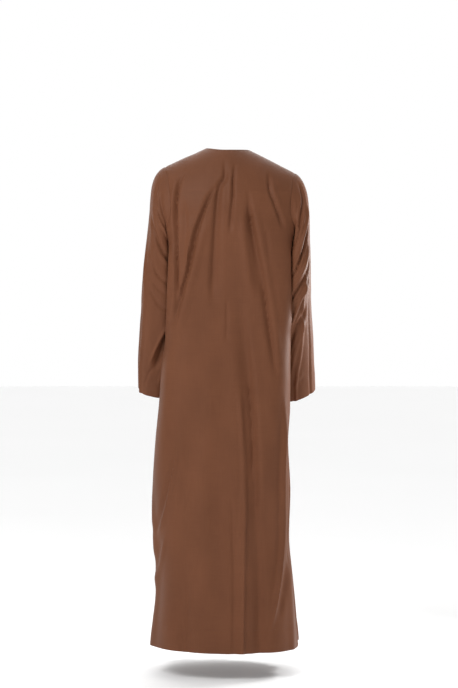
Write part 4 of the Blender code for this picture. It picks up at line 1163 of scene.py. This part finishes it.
def build_buttonhole(name, middle, side, up, away, look):
    """The close stitching round a buttonhole, on the band below its button."""
    turn = np.linspace(0.0, 2.0 * math.pi, BUTTONHOLE_POINTS)[:, None]
    x = BUTTONHOLE_HALF * np.cos(turn)
    y = BUTTONHOLE * 0.5 * np.sign(np.sin(turn)) * np.abs(np.sin(turn)) ** BUTTONHOLE_SQUARE
    path = middle - away * BUTTONHOLE_SINK + x * side + y * up
    strand(name, path, np.repeat(away[None], len(path), axis=0), look, *BUTTONHOLE_STITCH)


def feed(tree, made, values):
    """Sets a node's inputs to numbers, or links them to what other nodes give."""
    for name, value in values.items():
        if isinstance(value, bpy.types.NodeSocket):
            tree.links.new(value, made.inputs[name])
        else:
            made.inputs[name].default_value = value


def node(tree, kind, values, **settings):
    """A node with its settings, whose inputs are numbers or what other nodes give."""
    made = tree.nodes.new(kind)
    for name, value in settings.items():
        setattr(made, name, value)
    feed(tree, made, values)
    return made


def blend(tree, first, first_share, second, second_share):
    """The sum of two values, each taken by a share."""
    parts = []
    for value, share in ((first, first_share), (second, second_share)):
        parts.append(node(tree, "ShaderNodeMath", {0: value, 1: share}, operation="MULTIPLY").outputs[0])
    return node(tree, "ShaderNodeMath", {0: parts[0], 1: parts[1]}, operation="ADD").outputs[0]


def threads(tree, at, axis, period):
    """Parallel threads across one axis of the flat cloth, a little unsteady."""
    scale = 2.0 * math.pi / (20.0 * period)
    values = {"Vector": at, "Scale": scale, "Distortion": 0.6, "Detail Scale": 0.02}
    return node(tree, "ShaderNodeTexWave", values, bands_direction=axis).outputs["Fac"]


def noise(tree, at, scale, detail, stretch=(1.0, 1.0), twisted=0.0):
    """Noise over a surface, drawn out by stretch = (across, along)."""
    sizes = {"Vector": at, "Scale": (scale / stretch[0], scale / stretch[1], scale)}
    place = node(tree, "ShaderNodeMapping", sizes).outputs["Vector"]
    values = {"Vector": place, "Scale": 1.0, "Detail": detail, "Distortion": twisted}
    return node(tree, "ShaderNodeTexNoise", values).outputs["Fac"]


def range_of(tree, value, low, high, from_low=0.3, from_high=0.7):
    """A number that goes from low to high as the value does."""
    values = {"Value": value, "From Min": from_low, "From Max": from_high, "To Min": low, "To Max": high}
    return node(tree, "ShaderNodeMapRange", values).outputs["Result"]


def tone(tree, value, colour, low, high, from_low=0.3, from_high=0.7):
    """A colour whose lightness goes from low to high as the value does."""
    made = node(tree, "ShaderNodeValToRGB", {"Fac": value})
    stops = made.color_ramp.elements
    stops[0].position, stops[1].position = from_low, from_high
    stops[0].color = (*(c * low for c in colour), 1.0)
    stops[1].color = (*(c * high for c in colour), 1.0)
    return made.outputs["Color"]


def new_material(name):
    """A material and its node tree."""
    material = bpy.data.materials.new(name)
    material.use_nodes = True
    return material, material.node_tree


def finish_look(tree, colour, rough, values, height=None, strength=0.0, distance=0.0):
    """Gives a material's shader its colour, roughness, other values and bump."""
    values = {"Base Color": colour, "Roughness": rough, **values}
    if height:
        bump = node(tree, "ShaderNodeBump", {"Height": height, "Strength": strength, "Distance": distance})
        values["Normal"] = bump.outputs["Normal"]
    feed(tree, tree.nodes["Principled BSDF"], values)


def cloth_look():
    """Fine plain-woven cloth with a soft sheen, slightly uneven threads and faint patches."""
    material, tree = new_material("robe_cloth_look")
    at = node(tree, "ShaderNodeUVMap", {}, uv_map="weave").outputs["UV"]
    warp, weft = threads(tree, at, "X", WEAVE_PERIOD), threads(tree, at, "Y", WEAVE_PERIOD * 1.15)
    crossing = node(tree, "ShaderNodeMath", {0: warp, 1: weft}, operation="MULTIPLY").outputs[0]
    warp_slubs = noise(tree, at, 900.0, 2.0, (1.0, 60.0))
    weft_slubs = noise(tree, at, 900.0, 2.0, (60.0, 1.0))
    slubs = blend(tree, warp_slubs, 0.5, weft_slubs, 0.5)
    patches = noise(tree, at, 9.0, 3.0, (1.0, 1.6))
    toned = blend(tree, slubs, 0.55, patches, 0.45)
    colour = tone(tree, toned, CLOTH_COLOUR, 0.90, 1.10, 0.38, 0.62)
    sheen = {"Sheen Weight": 0.03, "Sheen Roughness": 0.45, "Sheen Tint": (1.0, 0.70, 0.52, 1.0)}
    values = {**sheen, "Specular IOR Level": 0.10}
    height = blend(tree, crossing, 1.0, slubs, 0.8)
    finish_look(tree, colour, range_of(tree, slubs, *CLOTH_ROUGH), values, height, 0.35, 0.00012)
    return material


def thread_look():
    """Twisted sewing thread, a little lighter than the cloth."""
    material, tree = new_material("sewing_thread")
    at = node(tree, "ShaderNodeTexCoord", {}).outputs["Object"]
    values = {"Vector": at, "Scale": 620.0}
    twist = node(tree, "ShaderNodeTexWave", values, bands_direction="DIAGONAL").outputs["Fac"]
    colour = tone(tree, twist, CLOTH_COLOUR, 0.80, 1.10, 0.0, 1.0)
    rough = range_of(tree, twist, 0.40, 0.55, 0.0, 1.0)
    values = {"Sheen Weight": 0.05, "Specular IOR Level": 0.12}
    finish_look(tree, colour, rough, values, twist, 0.4, 0.00008)
    return material


def button_look():
    """Moulded resin with faint clouds, worn to a soft shine."""
    material, tree = new_material("button_resin")
    at = node(tree, "ShaderNodeTexCoord", {}).outputs["Object"]
    clouds, scratches = noise(tree, at, 230.0, 4.0, twisted=1.2), noise(tree, at, 1900.0, 3.0)
    colour = tone(tree, clouds, BUTTON_COLOUR, 0.6, 1.5)
    finish_look(tree, colour, range_of(tree, scratches, 0.22, 0.40), {}, scratches, 0.15, 0.00005)
    return material


def add_floor():
    """A wide pale floor that glows a little."""
    mesh = bpy.data.meshes.new("floor")
    corners = ((-1, -1), (1, -1), (1, 1), (-1, 1))
    mesh.from_pydata([(x * FLOOR_HALF, y * FLOOR_HALF, FLOOR_Z) for x, y in corners], [], [(0, 1, 2, 3)])
    material, tree = new_material("pale_floor")
    at = node(tree, "ShaderNodeTexCoord", {}).outputs["Object"]
    colour = tone(tree, noise(tree, at, 0.8, 2.0), WHITE[:3], 0.89, 0.91)
    glow = {"Specular IOR Level": 0.0, "Emission Color": WHITE, "Emission Strength": FLOOR_GLOW}
    finish_look(tree, colour, 0.9, glow)
    mesh.materials.append(material)
    floor = bpy.data.objects.new("floor", mesh)
    link(floor)


def add_room():
    """A white room far off round the robe, which is seen and doesn't light it."""
    form = bmesh.new()
    bmesh.ops.create_icosphere(form, subdivisions=3, radius=ROOM_RADIUS)
    mesh = bpy.data.meshes.new("white_room")
    form.to_mesh(mesh)
    form.free()
    material, tree = new_material("white_room")
    glow = node(tree, "ShaderNodeEmission", {"Color": WHITE, "Strength": 1.0})
    feed(tree, tree.nodes["Material Output"], {"Surface": glow.outputs["Emission"]})
    mesh.materials.append(material)
    room = bpy.data.objects.new("white_room", mesh)
    for kind in ("diffuse", "glossy", "transmission", "volume_scatter", "shadow"):
        setattr(room, "visible_" + kind, False)
    link(room)


def add_stage():
    """A plain pale floor, white all round, and soft light."""
    add_floor()
    world = bpy.data.worlds.new("white_room")
    world.use_nodes = True
    feed(world.node_tree, world.node_tree.nodes["Background"], {"Color": WHITE, "Strength": FILL})
    bpy.context.scene.world = world
    add_room()
    for lamp in LAMPS:
        turn, climb, wide = (math.radians(angle) for angle in (lamp.turn, lamp.climb, lamp.spread))
        if lamp.reach:
            light = bpy.data.lights.new(lamp.name, "AREA")
            light.size = 2.0 * lamp.reach * math.tan(0.5 * wide)
            light.energy = lamp.power * math.pi * lamp.reach**2
        else:
            light = bpy.data.lights.new(lamp.name, "SUN")
            light.angle = wide
            light.energy = lamp.power
        made = bpy.data.objects.new(lamp.name, light)
        level = math.cos(climb)
        toward = Vector((math.sin(turn) * level, math.cos(turn) * level, math.sin(climb)))
        made.location = LIT_PLACE + toward * lamp.reach
        made.rotation_euler = toward.to_track_quat("Z", "Y").to_euler()
        link(made)
    bpy.context.scene.view_settings.view_transform = "Standard"


def add_camera():
    camera = bpy.data.objects.new("camera", bpy.data.cameras.new("camera"))
    camera.data.lens = LENS
    camera.data.sensor_width = SENSOR
    camera.location = CAMERA_PLACE
    camera.rotation_euler = (math.radians(90.0), 0.0, math.radians(180.0))
    link(camera)
    bpy.context.scene.camera = camera


cloth = (cloth_look(), "robe_cloth")
thread = (thread_look(), "robe_cloth")
resin = (button_look(), "button_plastic")

back, back_outer, back_out = build_back(cloth)
yoke, yoke_outer, yoke_out = build_yoke(cloth)
front, front_outer, front_out = build_front(cloth)
sleeves = {side: build_sleeve(side, cloth) for side in SIDES}
over, over_outer, over_out = build_placket(PLACKET_LIFT + PLACKET_CLOTH, "placket_over_cloth", cloth)
under, _, _ = build_placket(-CLOTH - PLACKET_LIFT, "placket_under_cloth", cloth)
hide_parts("back_panel")
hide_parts("back_yoke")
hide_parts("front_panel")
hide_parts("sleeve_left")
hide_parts("sleeve_right")
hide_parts("placket_over")
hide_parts("placket_under")

hem_back = strand("hem_stitches_back", back_outer[HEM_ROWS], back_out[HEM_ROWS], thread)
hem_front = strand("hem_stitches_front", front_outer[HEM_ROWS], front_out[HEM_ROWS], thread)
for side, (_, outer, out) in sleeves.items():
    line, normal = (np.concatenate([row, row[:1]]) for row in line_in(outer, out, CUFF_HEM_DEPTH))
    strand("cuff_stitches_" + side, line, normal, thread)
neck = np.s_[: YOKE_ROWS + 1, SHOULDER_COLUMNS : yoke_outer.shape[1] - SHOULDER_COLUMNS]
neck_back = strand("neck_stitches_back", *line_in(yoke_outer[neck], yoke_out[neck], NECK_STITCH), thread)
# The front's neck stitches stop short of the slit. The front has one column more than the back.
half = CENTRE - SIDE_COLUMNS - SHOULDER_COLUMNS
spans = {
    "right": slice(CENTRE - half, CENTRE - NECK_STITCH_STOP),
    "left": slice(CENTRE + 2 + NECK_STITCH_STOP, CENTRE + 2 + half),
}
for side, span in spans.items():
    top = np.s_[-FRONT_CHEST_ROWS - 1 :, span]
    line, normal = line_in(front_outer[top], front_out[top], NECK_STITCH)
    strand("neck_stitches_front_" + side, line, normal, thread)
for side, column in (("right", 1), ("left", PLACKET_COLUMNS - 2)):
    line, normal = over_outer[2:-2, column], over_out[2:-2, column]
    strand("placket_stitches_" + side, line, normal, thread)
for n, row in enumerate(PLACKET_FOOT_ROWS):
    line, normal = over_outer[row, 1:-1], over_out[row, 1:-1]
    strand("placket_stitches_foot_%d" % (n + 1), line, normal, thread)
middle_line, middle_out = over_outer[:, PLACKET_COLUMNS // 2], over_out[:, PLACKET_COLUMNS // 2]
for n in range(1, BUTTON_COUNT + 1):
    place = build_button("button_%d" % n, middle_line, middle_out, resin)
    build_button_thread("button_thread_%d" % n, *place, thread)
    build_buttonhole("buttonhole_%d" % n, *place, thread)

add_stage()
add_camera()
